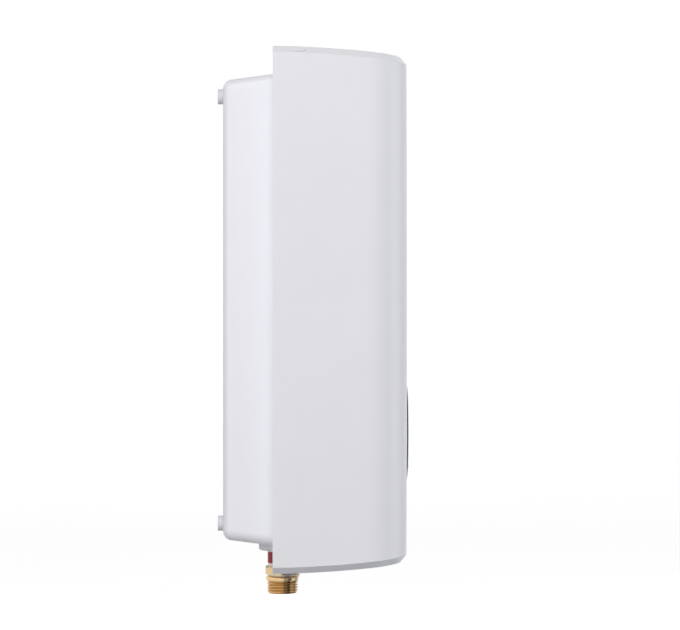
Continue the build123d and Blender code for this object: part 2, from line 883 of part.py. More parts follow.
def inlet_strainer():
    """Tapered filter thimble inside the cold pipe, slotted along its sides."""
    x = pipe_sides[1]
    low = collar_top + strainer_lift
    inner = pipe_radius - pipe_wall - seat_gap
    tip = inner - strainer_taper
    ring = column(inner, low, low + strainer_ring_height, x, pipe_depth)
    body = Pos(x, -pipe_depth, low + strainer_height / 2) * Cone(
        inner - seat_gap, tip, strainer_height)
    hollow_height = strainer_height - strainer_wall + overrun
    hollow = Pos(x, -pipe_depth, low - overrun + hollow_height / 2) * Cone(
        inner - strainer_wall, tip - strainer_wall, hollow_height)
    thimble = ring + body
    thimble = thimble - hollow
    slot_low = low + strainer_ring_height + strainer_wall
    slot_high = low + strainer_height - 2 * strainer_wall
    for n in range(strainer_slot_count):
        slot = Rot(0, 0, half_turn_degrees * n / strainer_slot_count) * Box(
            strainer_slot_width, 4 * inner, slot_high - slot_low)
        thimble = thimble - Pos(x, -pipe_depth, (slot_low + slot_high) / 2) * slot
    return thimble


def outlet_sensor():
    """Spring clip on the hot pipe with its temperature probe."""
    x = pipe_sides[0]
    low, high = clip_z - clip_width / 2, clip_z + clip_width / 2
    inner = pipe_radius + seat_gap
    ring = column(inner + clip_wall, low, high, x, pipe_depth)
    ring = ring - column(inner, low - overrun, high + overrun, x, pipe_depth)
    ring = ring - slab(x - pipe_radius / 2, x + pipe_radius / 2, 0, pipe_depth,
                       low - overrun, high + overrun)
    probe_rear = pipe_depth + inner + clip_wall / 2
    return ring + peg(probe_radius, probe_rear, probe_rear + probe_length, x, clip_z)


def safety_cutout():
    """Round over-temperature switch with a flange and two push-on tabs."""
    rear = block_front + block_rib_height
    front = rear + cutout_height
    body = peg(cutout_flange_radius, rear, rear + cutout_flange_thickness, cutout_x, cutout_z)
    body = body + peg(cutout_radius, rear, front, cutout_x, cutout_z)
    body = body + peg(cutout_neck_radius, front - overrun, front + cutout_neck_height,
                      cutout_x, cutout_z)
    for side in (-1, 1):
        x = cutout_x + side * cutout_tab_offset
        body = body + slab(x - tab_thickness / 2, x + tab_thickness / 2, front - overrun,
                           front + tab_height, cutout_z - tab_width / 2,
                           cutout_z + tab_width / 2)
    return body - peg(button_radius + button_gap, front + cutout_neck_height - button_depth
                      - button_travel - button_gap, front + cutout_neck_height + overrun,
                      cutout_x, cutout_z)


def reset_button():
    """Push button in the middle of the safety cut-out."""
    front = block_front + block_rib_height + cutout_height + cutout_neck_height
    button = peg(button_radius, front - button_depth, front + button_stand_out, cutout_x,
                 cutout_z)
    return fillet(button.edges().filter_by(GeomType.CIRCLE).sort_by(Axis.Y)[:1],
                  button_radius / 3)


def electronics_carrier():
    """Moulded tray that carries the circuit board in front of the pipes."""
    height = carrier_top - carrier_bottom
    middle = (carrier_top + carrier_bottom) / 2
    outline = Pos(0, middle) * RectangleRounded(2 * carrier_half_width, height,
                                                carrier_corner_radius)
    inside = Pos(0, middle) * RectangleRounded(
        2 * (carrier_half_width - carrier_rim_thickness), height - 2 * carrier_rim_thickness,
        carrier_corner_radius - carrier_rim_thickness)
    tray = upright_plate(outline, carrier_rear, carrier_front)
    tray = tray + upright_plate(outline - inside, carrier_front - overrun,
                                carrier_front + carrier_rim_height)
    for x, z in board_points():
        tray = tray + peg(standoff_radius, carrier_front - overrun, board_rear, x, z)
    for side in (-1, 1):
        x = side * carrier_half_width / 2
        window = Pos(x, carrier_window_z) * RectangleRounded(
            carrier_window_width, carrier_window_height, carrier_corner_radius)
        tray = tray - upright_plate(window, carrier_rear - overrun, carrier_front + overrun)
    for hole in cleared(carrier_points(), carrier_rear, carrier_front):
        tray = tray - hole
    for hole in drilled(board_rear, board_points()):
        tray = tray - hole
    return tray


def control_board():
    """Circuit board with its four screw holes."""
    board = slab(-board_half_width, board_half_width, board_rear, board_front, board_bottom,
                 board_top)
    for hole in cleared(board_points(), board_rear, board_front):
        board = board - hole
    return board


def power_relays():
    """Row of relays that switch the heating elements."""
    made = []
    for n in range(relay_count):
        x = relay_pitch * (n - (relay_count - 1) / 2)
        relay = slab(x - relay_width / 2, x + relay_width / 2, board_front,
                     board_front + relay_height, relay_z - relay_length / 2,
                     relay_z + relay_length / 2)
        made.append(chamfer(relay.faces().sort_by(Axis.Y)[0].edges(), relay_edge_bevel))
    return made


def power_connector():
    """Screwless terminal strip along the top edge of the board."""
    high = board_top - power_connector_inset
    half_width = board_half_width - board_hole_inset - 2 * screw_head_radius
    strip = slab(-half_width, half_width, board_front, board_front + power_connector_height,
                 high - power_connector_length, high)
    return chamfer(strip.edges().filter_by(Axis.X).sort_by(Axis.Y)[:2], power_connector_inset / 2)


def heat_sink():
    """Finned aluminium block for the power switches."""
    low = sink_z - sink_length / 2
    high = sink_z + sink_length / 2
    sink = slab(-sink_half_width, sink_half_width, board_front, board_front + sink_base, low, high)
    pitch = (2 * sink_half_width - sink_fin_thickness) / (sink_fin_count - 1)
    for n in range(sink_fin_count):
        x = -sink_half_width + n * pitch
        sink = sink + slab(x, x + sink_fin_thickness, board_front, board_front + sink_height,
                           low, high)
    return sink


def capacitors():
    """Round capacitors that stand on the board."""
    return [peg(capacitor_radius, board_front, board_front + capacitor_height,
                share * board_half_width, capacitor_z) for share in capacitor_x_shares]


def board_connectors():
    """Small plug headers for the sensors and the dial."""
    made = []
    half_width = header_width / 2
    half_length = header_length / 2
    for share in header_x_shares:
        x = share * board_half_width
        outer = slab(x - half_width, x + half_width, board_front, board_front + header_height,
                     header_z - half_length, header_z + half_length)
        inner = slab(x - half_width + header_wall, x + half_width - header_wall,
                     board_front + header_wall, board_front + header_height + overrun,
                     header_z - half_length + header_wall, header_z + half_length - header_wall)
        made.append(outer - inner)
    return made


def board_chips():
    """Flat packages of the control electronics."""
    made = []
    for width_share, height_share, x_share, z_share in chip_place_shares:
        x = x_share * board_half_width
        z = board_bottom + z_share * (board_top - board_bottom)
        half_width = width_share * chip_width / 2
        half_height = height_share * chip_width / 2
        made.append(slab(x - half_width, x + half_width, board_front,
                         board_front + chip_thickness, z - half_height, z + half_height))
    return made


def potentiometer_body():
    """Rotary potentiometer with a bored bushing for its spindle."""
    body = slab(-pot_half_width, pot_half_width, board_front, pot_front,
                knob_z - pot_half_width, knob_z + pot_half_width)
    body = chamfer(body.edges().filter_by(Axis.Y), pot_half_width / 4)
    body = body + peg(pot_bushing_radius, pot_front - overrun, pot_front + pot_bushing_height,
                      0, knob_z)
    return body - peg(spindle_radius + spindle_bore_gap, pot_front - spindle_seat,
                      pot_front + pot_bushing_height + overrun, 0, knob_z)


def flat_cut(radius, flat, rear, front):
    """The part of a round bar that its flat takes away."""
    return slab(-radius - overrun, radius + overrun, rear, front, knob_z + flat,
                knob_z + radius + overrun)


def potentiometer_spindle():
    """Spindle of the potentiometer, flattened where the dial grips it."""
    rear = pot_front - spindle_seat + spindle_bore_gap
    spindle = peg(spindle_radius, rear, spindle_front, 0, knob_z)
    return spindle - flat_cut(spindle_radius, spindle_flat, spindle_front - spindle_flat_length,
                              spindle_front + overrun)


def terminal_block():
    """Mains terminal block: a raised back with a lower step for the wire funnels."""
    body = slab(terminal_left, terminal_right, terminal_rear, terminal_rear + terminal_thickness,
                terminal_low, terminal_high)
    step = slab(terminal_left - overrun, terminal_right + overrun, terminal_rear
                + terminal_thickness - terminal_step, terminal_rear + terminal_thickness
                + overrun, terminal_low - overrun, terminal_low + terminal_step)
    body = body - step
    for x, z in terminal_points():
        body = body - peg(screw_head_radius + 2 * seat_gap, terminal_rear + terminal_step,
                          terminal_rear + terminal_thickness + overrun, x, z)
        body = body - peg(screw_shank_radius + seat_gap, terminal_rear - overrun,
                          terminal_rear + terminal_thickness, x, z)
    for x in pole_places():
        body = body - peg(terminal_screw_radius + seat_gap, terminal_rear + terminal_step,
                          terminal_rear + terminal_thickness + overrun, x, terminal_z)
        body = body - column(terminal_wire_radius, terminal_low - overrun,
                             terminal_low + terminal_step, x,
                             terminal_rear + terminal_step / 2 + seat_gap)
    return body


def pole_places():
    """X of each pole of the terminal block, between its two fixing screws."""
    left = terminal_left + 2 * terminal_post_inset + screw_head_radius + terminal_screw_radius
    right = terminal_right - 2 * terminal_post_inset - screw_head_radius - terminal_screw_radius
    return [left + (right - left) * n / (terminal_pole_count - 1)
            for n in range(terminal_pole_count)]


def terminal_screws():
    """Clamping screws of the mains terminals, and the two that hold the block."""
    seat = terminal_rear + terminal_step
    poles = [peg(terminal_screw_radius, seat, terminal_rear + terminal_thickness, x, terminal_z)
             for x in pole_places()]
    return poles + screws(terminal_rear, terminal_step, terminal_points())


def cable_grommet():
    """Rubber bushing in the back wall that the mains cable comes through."""
    rear = shell_back_depth
    front = floor_depth + grommet_flange_thickness
    ring = peg(grommet_flange_radius, rear, rear + grommet_flange_thickness, grommet_x, grommet_z)
    ring = ring + peg(grommet_neck_radius, rear, front, grommet_x, grommet_z)
    ring = ring + peg(grommet_flange_radius, floor_depth, front, grommet_x, grommet_z)
    ring = ring + peg(grommet_neck_radius, front, front + grommet_nose, grommet_x, grommet_z)
    return ring - peg(grommet_bore_radius, rear - overrun, front + grommet_nose + overrun,
                      grommet_x, grommet_z)


def cable_clamp():
    """Arched strap that holds the mains cable down."""
    rear = floor_depth + clamp_boss_height
    span = clamp_half_span + clamp_boss_radius
    strap = slab(clamp_x - clamp_width / 2, clamp_x + clamp_width / 2, rear,
                 rear + clamp_thickness, grommet_z - span, grommet_z + span)
    arch = Pos(clamp_x, -rear, grommet_z) * Rot(0, 90, 0)
    rise = arch * Cylinder(clamp_arch_radius + clamp_thickness / 2, clamp_width)
    upper = slab(clamp_x - clamp_width, clamp_x + clamp_width, rear, rear + 2 * clamp_arch_radius
                 + clamp_thickness, grommet_z - span, grommet_z + span)
    strap = strap + (rise & upper)
    strap = strap - arch * Cylinder(clamp_arch_radius - clamp_thickness / 2, clamp_width
                                    + overrun)
    for hole in cleared(clamp_points(), rear, rear + clamp_thickness):
        strap = strap - hole
    return strap


def lead(points, radii):
    """Insulated wire along straight runs and tangent bends."""
    path = FilletPolyline(*points, radius=radii)
    section = Plane(path @ 0, z_dir=path % 0) * Circle(lead_radius)
    return sweep(section, path=path)


def power_leads():
    """Wires from the mains terminals down to the board's terminal strip."""
    top = terminal_low
    rear = terminal_rear + terminal_thickness / 4
    front = board_front + power_connector_height / 2
    low = board_top - power_connector_inset
    made = []
    for x in pole_places()[:-1]:
        points = [(x, -rear, top), (x, -rear, top - lead_drop), (x, -front, top - lead_drop),
                  (x, -front, low)]
        made.append(lead(points, [lead_small_bend, lead_large_bend]))
    return made


def element_leads():
    """Wires from the outer element ends to the board's terminal strip."""
    base = block_top + element_stand_out + terminal_collar + tab_height
    front = board_front + power_connector_height / 2
    low = board_top - power_connector_inset
    made = []
    for x in (channel_places[0], channel_places[1], channel_places[-1]):
        points = [(x, -pipe_depth, base), (x, -pipe_depth, base + element_lead_rise),
                  (x, -front, base + element_lead_rise), (x, -front, low)]
        made.append(lead(points, [lead_small_bend, lead_large_bend]))
    return made


def cover_screw():
    """Screw that clamps the cover from below, through its open slot."""
    skin = -crown_height(cover_screw_depth, 0)
    head_top = skin - cover_screw_head_gap
    head = column(cover_screw_head_radius, head_top - cover_screw_head_height, head_top, 0,
                  cover_screw_depth)
    boss_low = -crown_height(cover_rim_depth, cover_wall + 2 * flange_gap)
    return head + column(screw_shank_radius, head_top, boss_low + cover_screw_bite - seat_gap, 0,
                         cover_screw_depth)


def front_cover():
    """Moulded cover with its dial pocket, collar, pipe notches, slot and inner ribs."""
    cover = cover_form(0, cover_rim_depth) - cover_form(cover_wall, cover_rim_depth - overrun)
    inner_face = cover_face_depth - cover_wall
    pocket = dial_ring_radius + dial_ring_seat_gap
    cup = peg(pocket + dial_cup_wall, dial_cup_rear, inner_face + overrun, 0, knob_z)
    cover = cover + cup
    cover = cover - peg(pocket, dial_floor_depth, cover_face_depth + overrun, 0, knob_z)
    cover = cover + peg(dial_collar_radius, dial_collar_rear, dial_cup_rear + overrun, 0, knob_z)
    cover = cover - peg(knob_hub_radius + knob_hub_gap, dial_collar_rear - overrun,
                        dial_floor_depth + overrun, 0, knob_z)

    low, high = -crown_top - overrun, bushing_bottom
    for x in pipe_sides:
        cover = cover - column(cover_notch_half_width, low, high, x, pipe_depth)
        cover = cover - slab(x - cover_notch_half_width, x + cover_notch_half_width,
                             cover_rim_depth - overrun, pipe_depth, low, high)
    cover = cover - column(cover_slot_half_width, low, high, 0, cover_screw_depth)
    cover = cover - slab(-cover_slot_half_width, cover_slot_half_width,
                         cover_rim_depth - overrun, cover_screw_depth, low, high)

    rib_rear = flange_front + lip_height + lip_setback
    rib_front = cover_face_depth - cover_rib_end_gap
    for side in (-1, 1):
        wall = side * (cover_width / 2 - cover_wall / 2)
        inner = side * (cover_width / 2 - cover_wall - cover_rib_height)
        for n in range(-2, 3):
            z = n * cover_rib_pitch
            cover = cover + slab(min(wall, inner), max(wall, inner), rib_rear, rib_front,
                                 z - cover_rib_thickness / 2, z + cover_rib_thickness / 2)
        cover = cover - latch_slot(side)
    return cover


def latch_slot(side):
    """Hooked slot in the chamfer of one side, where a blade frees the cover's catch."""
    depth = cover_rim_depth + latch_slot_setback
    tilt = half_turn_degrees / 4
    rise = latch_slot_lift * sin(radians(tilt))
    foot = crown_height(depth, 0) - cover_chamfer
    frame = Pos(side * (cover_width / 2 - rise), -depth, foot + rise) * Rot(0, -side * tilt, 0)
    slot = Box(2 * latch_slot_depth, latch_slot_length, latch_slot_width)
    hook = Box(2 * latch_slot_depth, latch_hook_length, latch_hook_width)
    reach = latch_hook_length / 2
    across = reach * cos(radians(latch_hook_degrees))
    up = reach * sin(radians(latch_hook_degrees))
    bent = Pos(0, -latch_slot_length - across, up) * Rot(-latch_hook_degrees, 0, 0) * hook
    return frame * (Pos(0, -latch_slot_length / 2, 0) * slot + bent)


def dial_ring():
    """Light trim ring round the dial, coned from the cover's face up to a flat lip."""
    inner = knob_radius + dial_ring_bore_gap
    face = cover_face_depth - cover_bow / 2
    outline = Polyline((inner, -dial_floor_depth), (dial_ring_radius, -dial_floor_depth),
                       (dial_ring_radius, -face), (inner + dial_ring_flat, -dial_ring_front),
                       (inner, -dial_ring_front), close=True)
    return Pos(0, 0, knob_z) * revolve(make_face(outline), Axis.Y)


def temperature_knob():
    """Dial knob: flat face with a finger dimple, skirt, ribs and a bored hub."""
    rear = dial_floor_depth + knob_floor_gap
    knob = peg(knob_radius, rear, knob_front, 0, knob_z)
    knob = fillet(knob.edges().filter_by(GeomType.CIRCLE).sort_by(Axis.Y)[:1],
                  knob_edge_rounding)
    inner_face = knob_front - knob_face_thickness
    knob = knob - peg(knob_radius - knob_skirt_thickness, rear - overrun, inner_face, 0, knob_z)
    knob = knob + peg(knob_hub_radius, knob_hub_rear, inner_face + overrun, 0, knob_z)
    for n in range(knob_rib_count):
        reach = knob_radius - knob_skirt_thickness / 2 - knob_hub_radius / 2
        bar = Pos((knob_radius - knob_skirt_thickness / 2 + knob_hub_radius / 2) / 2, 0) * Box(
            reach, knob_rib_thickness, knob_face_thickness + overrun)
        rib = Rot(0, 0, full_turn_degrees * n / knob_rib_count) * bar
        knob = knob + Pos(0, -(inner_face - knob_face_thickness / 2), knob_z) * Rot(
            90, 0, 0) * rib
    bowl_radius = (dimple_radius ** 2 + dimple_depth ** 2) / (2 * dimple_depth)
    knob = knob - Pos(0, -(knob_front - dimple_depth + bowl_radius),
                      knob_z - dimple_offset) * Sphere(bowl_radius)
    knob = knob + peg(pip_radius, knob_front - pip_height, knob_front + pip_height, 0,
                      knob_z - pip_offset)
    socket_radius = spindle_radius + socket_gap
    socket = peg(socket_radius, knob_hub_rear - overrun, spindle_front + socket_end_gap, 0,
                 knob_z)
    socket = socket - flat_cut(socket_radius, spindle_flat + socket_gap,
                               spindle_front - spindle_flat_length + socket_end_gap,
                               spindle_front + 2 * socket_end_gap)
    groove = peg(knob_hub_radius + overrun, clip_rear, clip_front, 0, knob_z) - peg(
        knob_hub_radius - clip_groove_depth, clip_rear - overrun, clip_front + overrun, 0,
        knob_z)
    return knob - socket - groove


def knob_pointer():
    """Light pointer line set on the knob's face."""
    high = knob_z + knob_radius - pointer_edge_gap
    return slab(-pointer_width / 2, pointer_width / 2, knob_front, knob_front + pointer_height,
                high - pointer_length, high)


def knob_clip():
    """Spring clip in the hub's groove that keeps the knob in the cover."""
    bore = knob_hub_radius - clip_groove_depth + seat_gap
    clip = peg(clip_radius, clip_rear, clip_front, 0, knob_z)
    clip = clip - peg(bore, clip_rear - overrun, clip_front + overrun, 0, knob_z)
    return clip - slab(-bore * cos(pi / 4), bore * cos(pi / 4), clip_rear - overrun,
                       clip_front + overrun, knob_z - clip_radius - overrun, knob_z)


def carrier_screws():
    """Screws that hold the carrier to the shell's posts and the block's bosses."""
    return screws(carrier_rear, carrier_thickness, carrier_points())


def board_screws():
    """Screws that hold the circuit board."""
    return screws(board_rear, board_thickness, board_points())


def block_screws():
    """Screws that hold the two halves of the heating block together."""
    return screws(block_front, 0, lid_points())


def block_mount_screws():
    """Screws that hold the heating block to the shell."""
    return screws(block_rear, ear_thickness, ear_points())


def cable_clamp_screws():
    """Screws of the cable clamp."""
    return screws(floor_depth + clamp_boss_height, clamp_thickness, clamp_points())


def build():
    """Every sub-part by its name, in the order of assembly."""
    hot, cold = pipe_sides
    return {
        "rear_shell": rear_shell(),
        "wall_spacers": wall_spacers(),
        "heating_block": heating_block(),
        "heating_block_lid": heating_block_lid(),
        "heating_elements": heating_elements(),
        "element_terminals": element_terminals(),
        "block_screws": block_screws(),
        "block_mount_screws": block_mount_screws(),
        "hot_outlet_pipe": outlet_pipe(),
        "hot_union_nut": union_nut(hot),
        "hot_nipple": nipple(hot),
        "hot_marker_sleeve": marker_sleeve(hot),
        "cold_inlet_pipe": inlet_pipe(),
        "cold_feed_pipe": feed_pipe(),
        "cold_union_nut": union_nut(cold),
        "cold_nipple": nipple(cold),
        "cold_marker_sleeve": marker_sleeve(cold),
        "pipe_seals": pipe_seals(),
        "inlet_strainer": inlet_strainer(),
        "flow_sensor_body": sensor_body(),
        "turbine_guides": turbine_guides(),
        "turbine_axle": turbine_axle(),
        "flow_turbine": flow_turbine(),
        "hall_sensor": hall_sensor(),
        "outlet_sensor": outlet_sensor(),
        "safety_cutout": safety_cutout(),
        "reset_button": reset_button(),
        "electronics_carrier": electronics_carrier(),
        "carrier_screws": carrier_screws(),
        "control_board": control_board(),
        "board_screws": board_screws(),
        "power_relays": power_relays(),
        "power_connector": power_connector(),
        "heat_sink": heat_sink(),
        "capacitors": capacitors(),
        "board_connectors": board_connectors(),
        "board_chips": board_chips(),
        "potentiometer_body": potentiometer_body(),
        "potentiometer_spindle": potentiometer_spindle(),
        "terminal_block": terminal_block(),
        "terminal_screws": terminal_screws(),
        "cable_grommet": cable_grommet(),
        "cable_clamp": cable_clamp(),
        "cable_clamp_screws": cable_clamp_screws(),
        "power_leads": power_leads(),
        "element_leads": element_leads(),
        "cover_screw": cover_screw(),
        "front_cover": front_cover(),
        "dial_ring": dial_ring(),
        "temperature_knob": temperature_knob(),
        "knob_pointer": knob_pointer(),
        "knob_clip": knob_clip(),
    }


os.makedirs("parts", exist_ok=True)
for name, piece in build().items():
    shapes = piece if isinstance(piece, list) else [piece]
    solids = [solid for shape in shapes for solid in shape.solids()]
    export_step(Compound(children=solids), f"parts/{name}.step")
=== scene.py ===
"""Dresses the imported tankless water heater: finishes, threads, screws, dial marks and studio.

Lengths are in metres. The wall is the plane y = 0, the room is towards -Y, and Z is up, as in
the CAD frame.
"""

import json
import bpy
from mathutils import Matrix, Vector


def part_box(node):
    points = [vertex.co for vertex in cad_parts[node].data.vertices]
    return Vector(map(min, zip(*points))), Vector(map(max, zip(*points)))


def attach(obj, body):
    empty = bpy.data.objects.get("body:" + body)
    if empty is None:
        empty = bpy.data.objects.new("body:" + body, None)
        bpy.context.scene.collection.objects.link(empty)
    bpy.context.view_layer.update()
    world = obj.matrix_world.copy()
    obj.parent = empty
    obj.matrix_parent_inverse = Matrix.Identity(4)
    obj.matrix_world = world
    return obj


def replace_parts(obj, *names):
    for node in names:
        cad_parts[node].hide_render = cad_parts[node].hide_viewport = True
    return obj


bl_info = {
    "name": "Tankless Water Heater",
    "version": (1, 0, 0),
    "blender": (4, 5, 0),
    "location": "View3D > Sidebar > Water Heater",
    "description": "Finishes, threads, screws, dial and studio of a tankless water heater",
    "category": "Add Mesh",
}

import bpy
import numpy as np
from mathutils import Vector

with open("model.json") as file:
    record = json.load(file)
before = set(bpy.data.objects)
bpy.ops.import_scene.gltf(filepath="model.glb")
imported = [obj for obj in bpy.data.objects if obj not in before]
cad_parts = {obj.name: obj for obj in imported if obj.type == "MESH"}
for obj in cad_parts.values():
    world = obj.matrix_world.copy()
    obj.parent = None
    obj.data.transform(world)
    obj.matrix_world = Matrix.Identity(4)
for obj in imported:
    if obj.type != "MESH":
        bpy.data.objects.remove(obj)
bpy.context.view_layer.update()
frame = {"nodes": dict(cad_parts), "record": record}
MM = 0.001
TURN = 2 * np.pi
CREASE = np.radians(48.0)  # a crisp line shows where two faces meet at more than this
PIPE_THREAD = 10.4775 * MM  # radius of the G 1/2 thread over its crests
CREST_FLAT, FLANK = 0.04, 0.37  # half the crest's flat and one flank, in pitches


def measure(name, description, millimetres):
    """A length, given in millimetres and kept in metres."""
    return bpy.props.FloatProperty(name=name, description=description, unit="LENGTH",
                                   default=millimetres * MM, precision=6)


def amount(name, description, default, unit="NONE"):
    """A plain number, or the power of a lamp."""
    return bpy.props.FloatProperty(name=name, description=description, default=default,
                                   unit=unit)


def hex_colour(name, description, default):
    """A colour, as an sRGB hex value."""
    return bpy.props.StringProperty(name=name, description=description, default=default)


class HeaterSizes(bpy.types.PropertyGroup):
    """Sizes of the pieces that are added to the frame."""

    thread_pitch: measure("Thread pitch", "From crest to crest of the pipe thread", 1.814)
    thread_depth: measure("Thread depth", "From crest to root of the pipe thread", 1.16)
    thread_start: amount("Thread start", "Where the helix begins, in turns", 0.69)
    collar_height: measure("Collar height", "Of the round collar above the thread", 2.9)
    bore_radius: measure("Bore radius", "Of the water way through the connection", 7.5)
    screw_pitch: measure("Screw pitch", "Thread pitch of the screws", 1.1)
    recess_depth: measure("Recess depth", "Of the cross recess in a screw's head", 1.3)
    numeral_height: measure("Numeral height", "Of the numbers round the dial", 4.6)
    numeral_radius: measure("Numeral circle", "Radius that the numbers stand on", 41.3)
    knob_crown: measure("Knob crown", "Fall of the knob's face from middle to edge", 0.6)
    dimple_radius: measure("Dimple radius", "Of the finger dimple in the knob", 9.0)
    dimple_depth: measure("Dimple depth", "Of the finger dimple in the knob", 1.5)
    dimple_offset: measure("Dimple offset", "From the knob's middle to the dimple's", 12.0)
    pip_radius: measure("Pip radius", "Of the small pip at the knob's lower edge", 0.75)
    pip_height: measure("Pip height", "How far the pip stands on the knob's face", 0.6)
    pip_offset: measure("Pip offset", "From the knob's middle down to the pip", 24.2)
    tick_length: measure("Tick length", "Of a long mark of the dial's scale", 1.8)
    print_height: measure("Print height", "Of the printed marks over the plastic", 0.03)


class HeaterColours(bpy.types.PropertyGroup):
    """Colours of the finishes, as sRGB hex values."""

    # The shell's white is lighter than the cover's as painted light: it stands in for more
    # light falling on the shell.
    cover: hex_colour("Cover", "Moulded front cover", "#E6E6EB")
    shell: hex_colour("Rear shell", "Moulded rear shell", "#EEEEF4")
    dial_trim: hex_colour("Dial trim", "Light ring of the dial", "#D2D3D7")
    knob: hex_colour("Knob", "Dark round knob", "#20282F")
    hot_sleeve: hex_colour("Hot sleeve", "Sleeve of the hot pipe", "#9E2737")
    cold_sleeve: hex_colour("Cold sleeve", "Sleeve of the cold pipe", "#2F4F93")
    nickel: hex_colour("Pipe", "Plated pipe", "#CFC7B4")
    brass: hex_colour("Brass", "Machined brass", "#E7C697")
    ink: hex_colour("Ink", "Printed marks of the dial", "#3B4046")


class HeaterStudio(bpy.types.PropertyGroup):
    """Camera, lamps, floor and what reflections see."""

    camera_distance: measure("Camera distance", "To the heater's middle plane", 1674.0)
    camera_depth: measure("Camera depth", "From the wall to the line of sight", 80.4)
    camera_height: measure("Camera height", "Of the line of sight over the origin", -3.35)
    focal_length: amount("Focal length", "In millimetres, on a 36 mm sensor", 128.81)
    floor_height: measure("Floor height", "Of the floor under the heater", -460.0)
    key_power: amount("Key lamp", "The large lamp beside the camera", 43.4, "POWER")
    fill_power: amount("Fill lamp", "The soft lamp in front of the heater", 33.0, "POWER")
    top_power: amount("Top lamp", "The small lamp above the camera", 2.7, "POWER")
    far_power: amount("Far lamp", "The large lamp on the other side", 26.0, "POWER")
    sky_strength: amount("Light from above", "Soft light from overhead", 0.18)
    ground_strength: amount("Light from below", "Soft light from underneath", 0.225)
    card_strength: amount("Dark card", "Its brightness in reflections", 0.15)
    card_grey: amount("Grey card", "How much it takes from reflections", 0.52)
    side_card: amount("Side card", "How much it takes from reflections", 0.42)
    cool_side: hex_colour("Cool side", "The window side in reflections", "#E0ECFF")


def creased(mesh):
    """Smooth shading, with a crisp line wherever two faces meet at more than the crease."""
    mesh.update(calc_edges=True)
    mesh.shade_smooth()
    mesh.set_sharp_from_angle(angle=CREASE)
    return mesh


def stacked(*parts):
    """Points from their coordinates, or faces from their corners, given one array each."""
    return np.stack(parts, axis=-1)


def surface(name, grid, close_u=True, cap_start=False, cap_end=False):
    """Mesh of a grid of points, rows along v and columns along u.

    Quad (i, j) joins points (i, j), (i, j+1), (i+1, j+1) and (i+1, j); with close_u the last
    column joins the first. A cap is one pole point, the mean of its row, with a fan.
    """
    rows, columns = grid.shape[:2]
    points = grid.reshape(-1, 3)
    row = np.arange(rows - 1)[:, None] * columns
    j = np.arange(columns if close_u else columns - 1)[None, :]
    k = (j + 1) % columns
    quads = stacked(row + j, row + k, row + columns + k, row + columns + j)
    faces = quads.reshape(-1, 4).tolist()
    ring = np.arange(columns)
    following = (ring + 1) % columns
    last = (rows - 1) * columns
    for capped, end, fan in ((cap_start, 0, (following, ring)),
                             (cap_end, -1, (last + ring, last + following))):
        if capped:
            points = np.vstack([points, grid[end].mean(axis=0)])
            faces += stacked(*fan, np.full(columns, len(points) - 1)).tolist()
    mesh = bpy.data.meshes.new(name)
    mesh.from_pydata(points.tolist(), [], faces)
    return creased(mesh)


def dress(piece, material):
    """Makes a material the only one of a piece."""
    piece.data.materials.clear()
    piece.data.materials.append(material)


def finish(nodes, material):
    """Gives CAD nodes a material."""
    for node in nodes:
        dress(frame["nodes"][node], material)


def placed(name, mesh, material, node):
    """Object of a finished mesh at the origin, riding on the body that carries a CAD node."""
    piece = bpy.data.objects.new(name, mesh)
    bpy.context.scene.collection.objects.link(piece)
    dress(piece, material)
    bodies = frame["record"]["behaviour"]["bodies"]
    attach(piece, next(body for body, nodes in bodies.items() if node in nodes))
    return piece


def replaced(node, name, mesh, material):
    """Shows a mesh in the place of a CAD node."""
    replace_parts(placed(name, mesh, material, node), node)


def points_of(mesh):
    """Points of a mesh, one row each."""
    co = np.empty(len(mesh.vertices) * 3)
    mesh.vertices.foreach_get("co", co)
    return co.reshape(-1, 3)


def merged(name, meshes):
    """One mesh from several, each with its own vertex offset added to its faces."""
    points, faces, count = [], [], 0
    for mesh in meshes:
        points.append(points_of(mesh))
        faces += [[count + v for v in p.vertices] for p in mesh.polygons]
        count += len(mesh.vertices)
    whole = bpy.data.meshes.new(name)
    whole.from_pydata(np.vstack(points).tolist(), [], faces)
    return creased(whole)


def lathe(profile, columns, twist=None):
    """Grid of a profile carried round an upright axis.

    profile is (n, 2): radius and height. Point (i, j) is (r cos a, r sin a, h) with
    a = 2 pi j / columns. twist(a, r, h) may change the radius of each point.
    """
    angle = np.linspace(0, TURN, columns, endpoint=False)[None, :]
    radius = np.repeat(profile[:, :1], columns, axis=1)
    height = np.repeat(profile[:, 1:], columns, axis=1)
    if twist is not None:
        radius = twist(angle, radius, height)
    return stacked(radius * np.cos(angle), radius * np.sin(angle), height)


def ramp(stations, counts):
    """Points along a broken line: between two stations, as many steps as counts says."""
    stations = np.asarray(stations, float)
    parts = [stations[:1]]
    for start, end, count in zip(stations[:-1], stations[1:], counts):
        share = np.linspace(0, 1, count + 1)[1:, None]
        parts.append(start + share * (end - start))
    return np.vstack(parts)


def thread_wave(phase):
    """Cut thread: 0 at the narrow crest and 1 at the root, with straight flanks.

    With u the distance to the nearest crest in pitches, the depth's share is
    (u - crest flat) / flank, kept between 0 and 1, so crest and root are small flats.
    """
    away = np.abs(phase - np.round(phase))
    return np.clip((away - CREST_FLAT) / FLANK, 0, 1)


def groups_of(node, reach):
    """Lowest and highest corner of each loose group of a node's points.

    Takes any point, gathers all points within reach of it in X and Z, and goes on with the
    rest, so its loop runs once per group.
    """
    co = points_of(frame["nodes"][node].data)
    found = []
    while len(co):
        near = np.hypot(co[:, 0] - co[0, 0], co[:, 2] - co[0, 2]) < reach
        group = co[near]
        found.append((group.min(axis=0), group.max(axis=0)))
        co = co[~near]
    return found


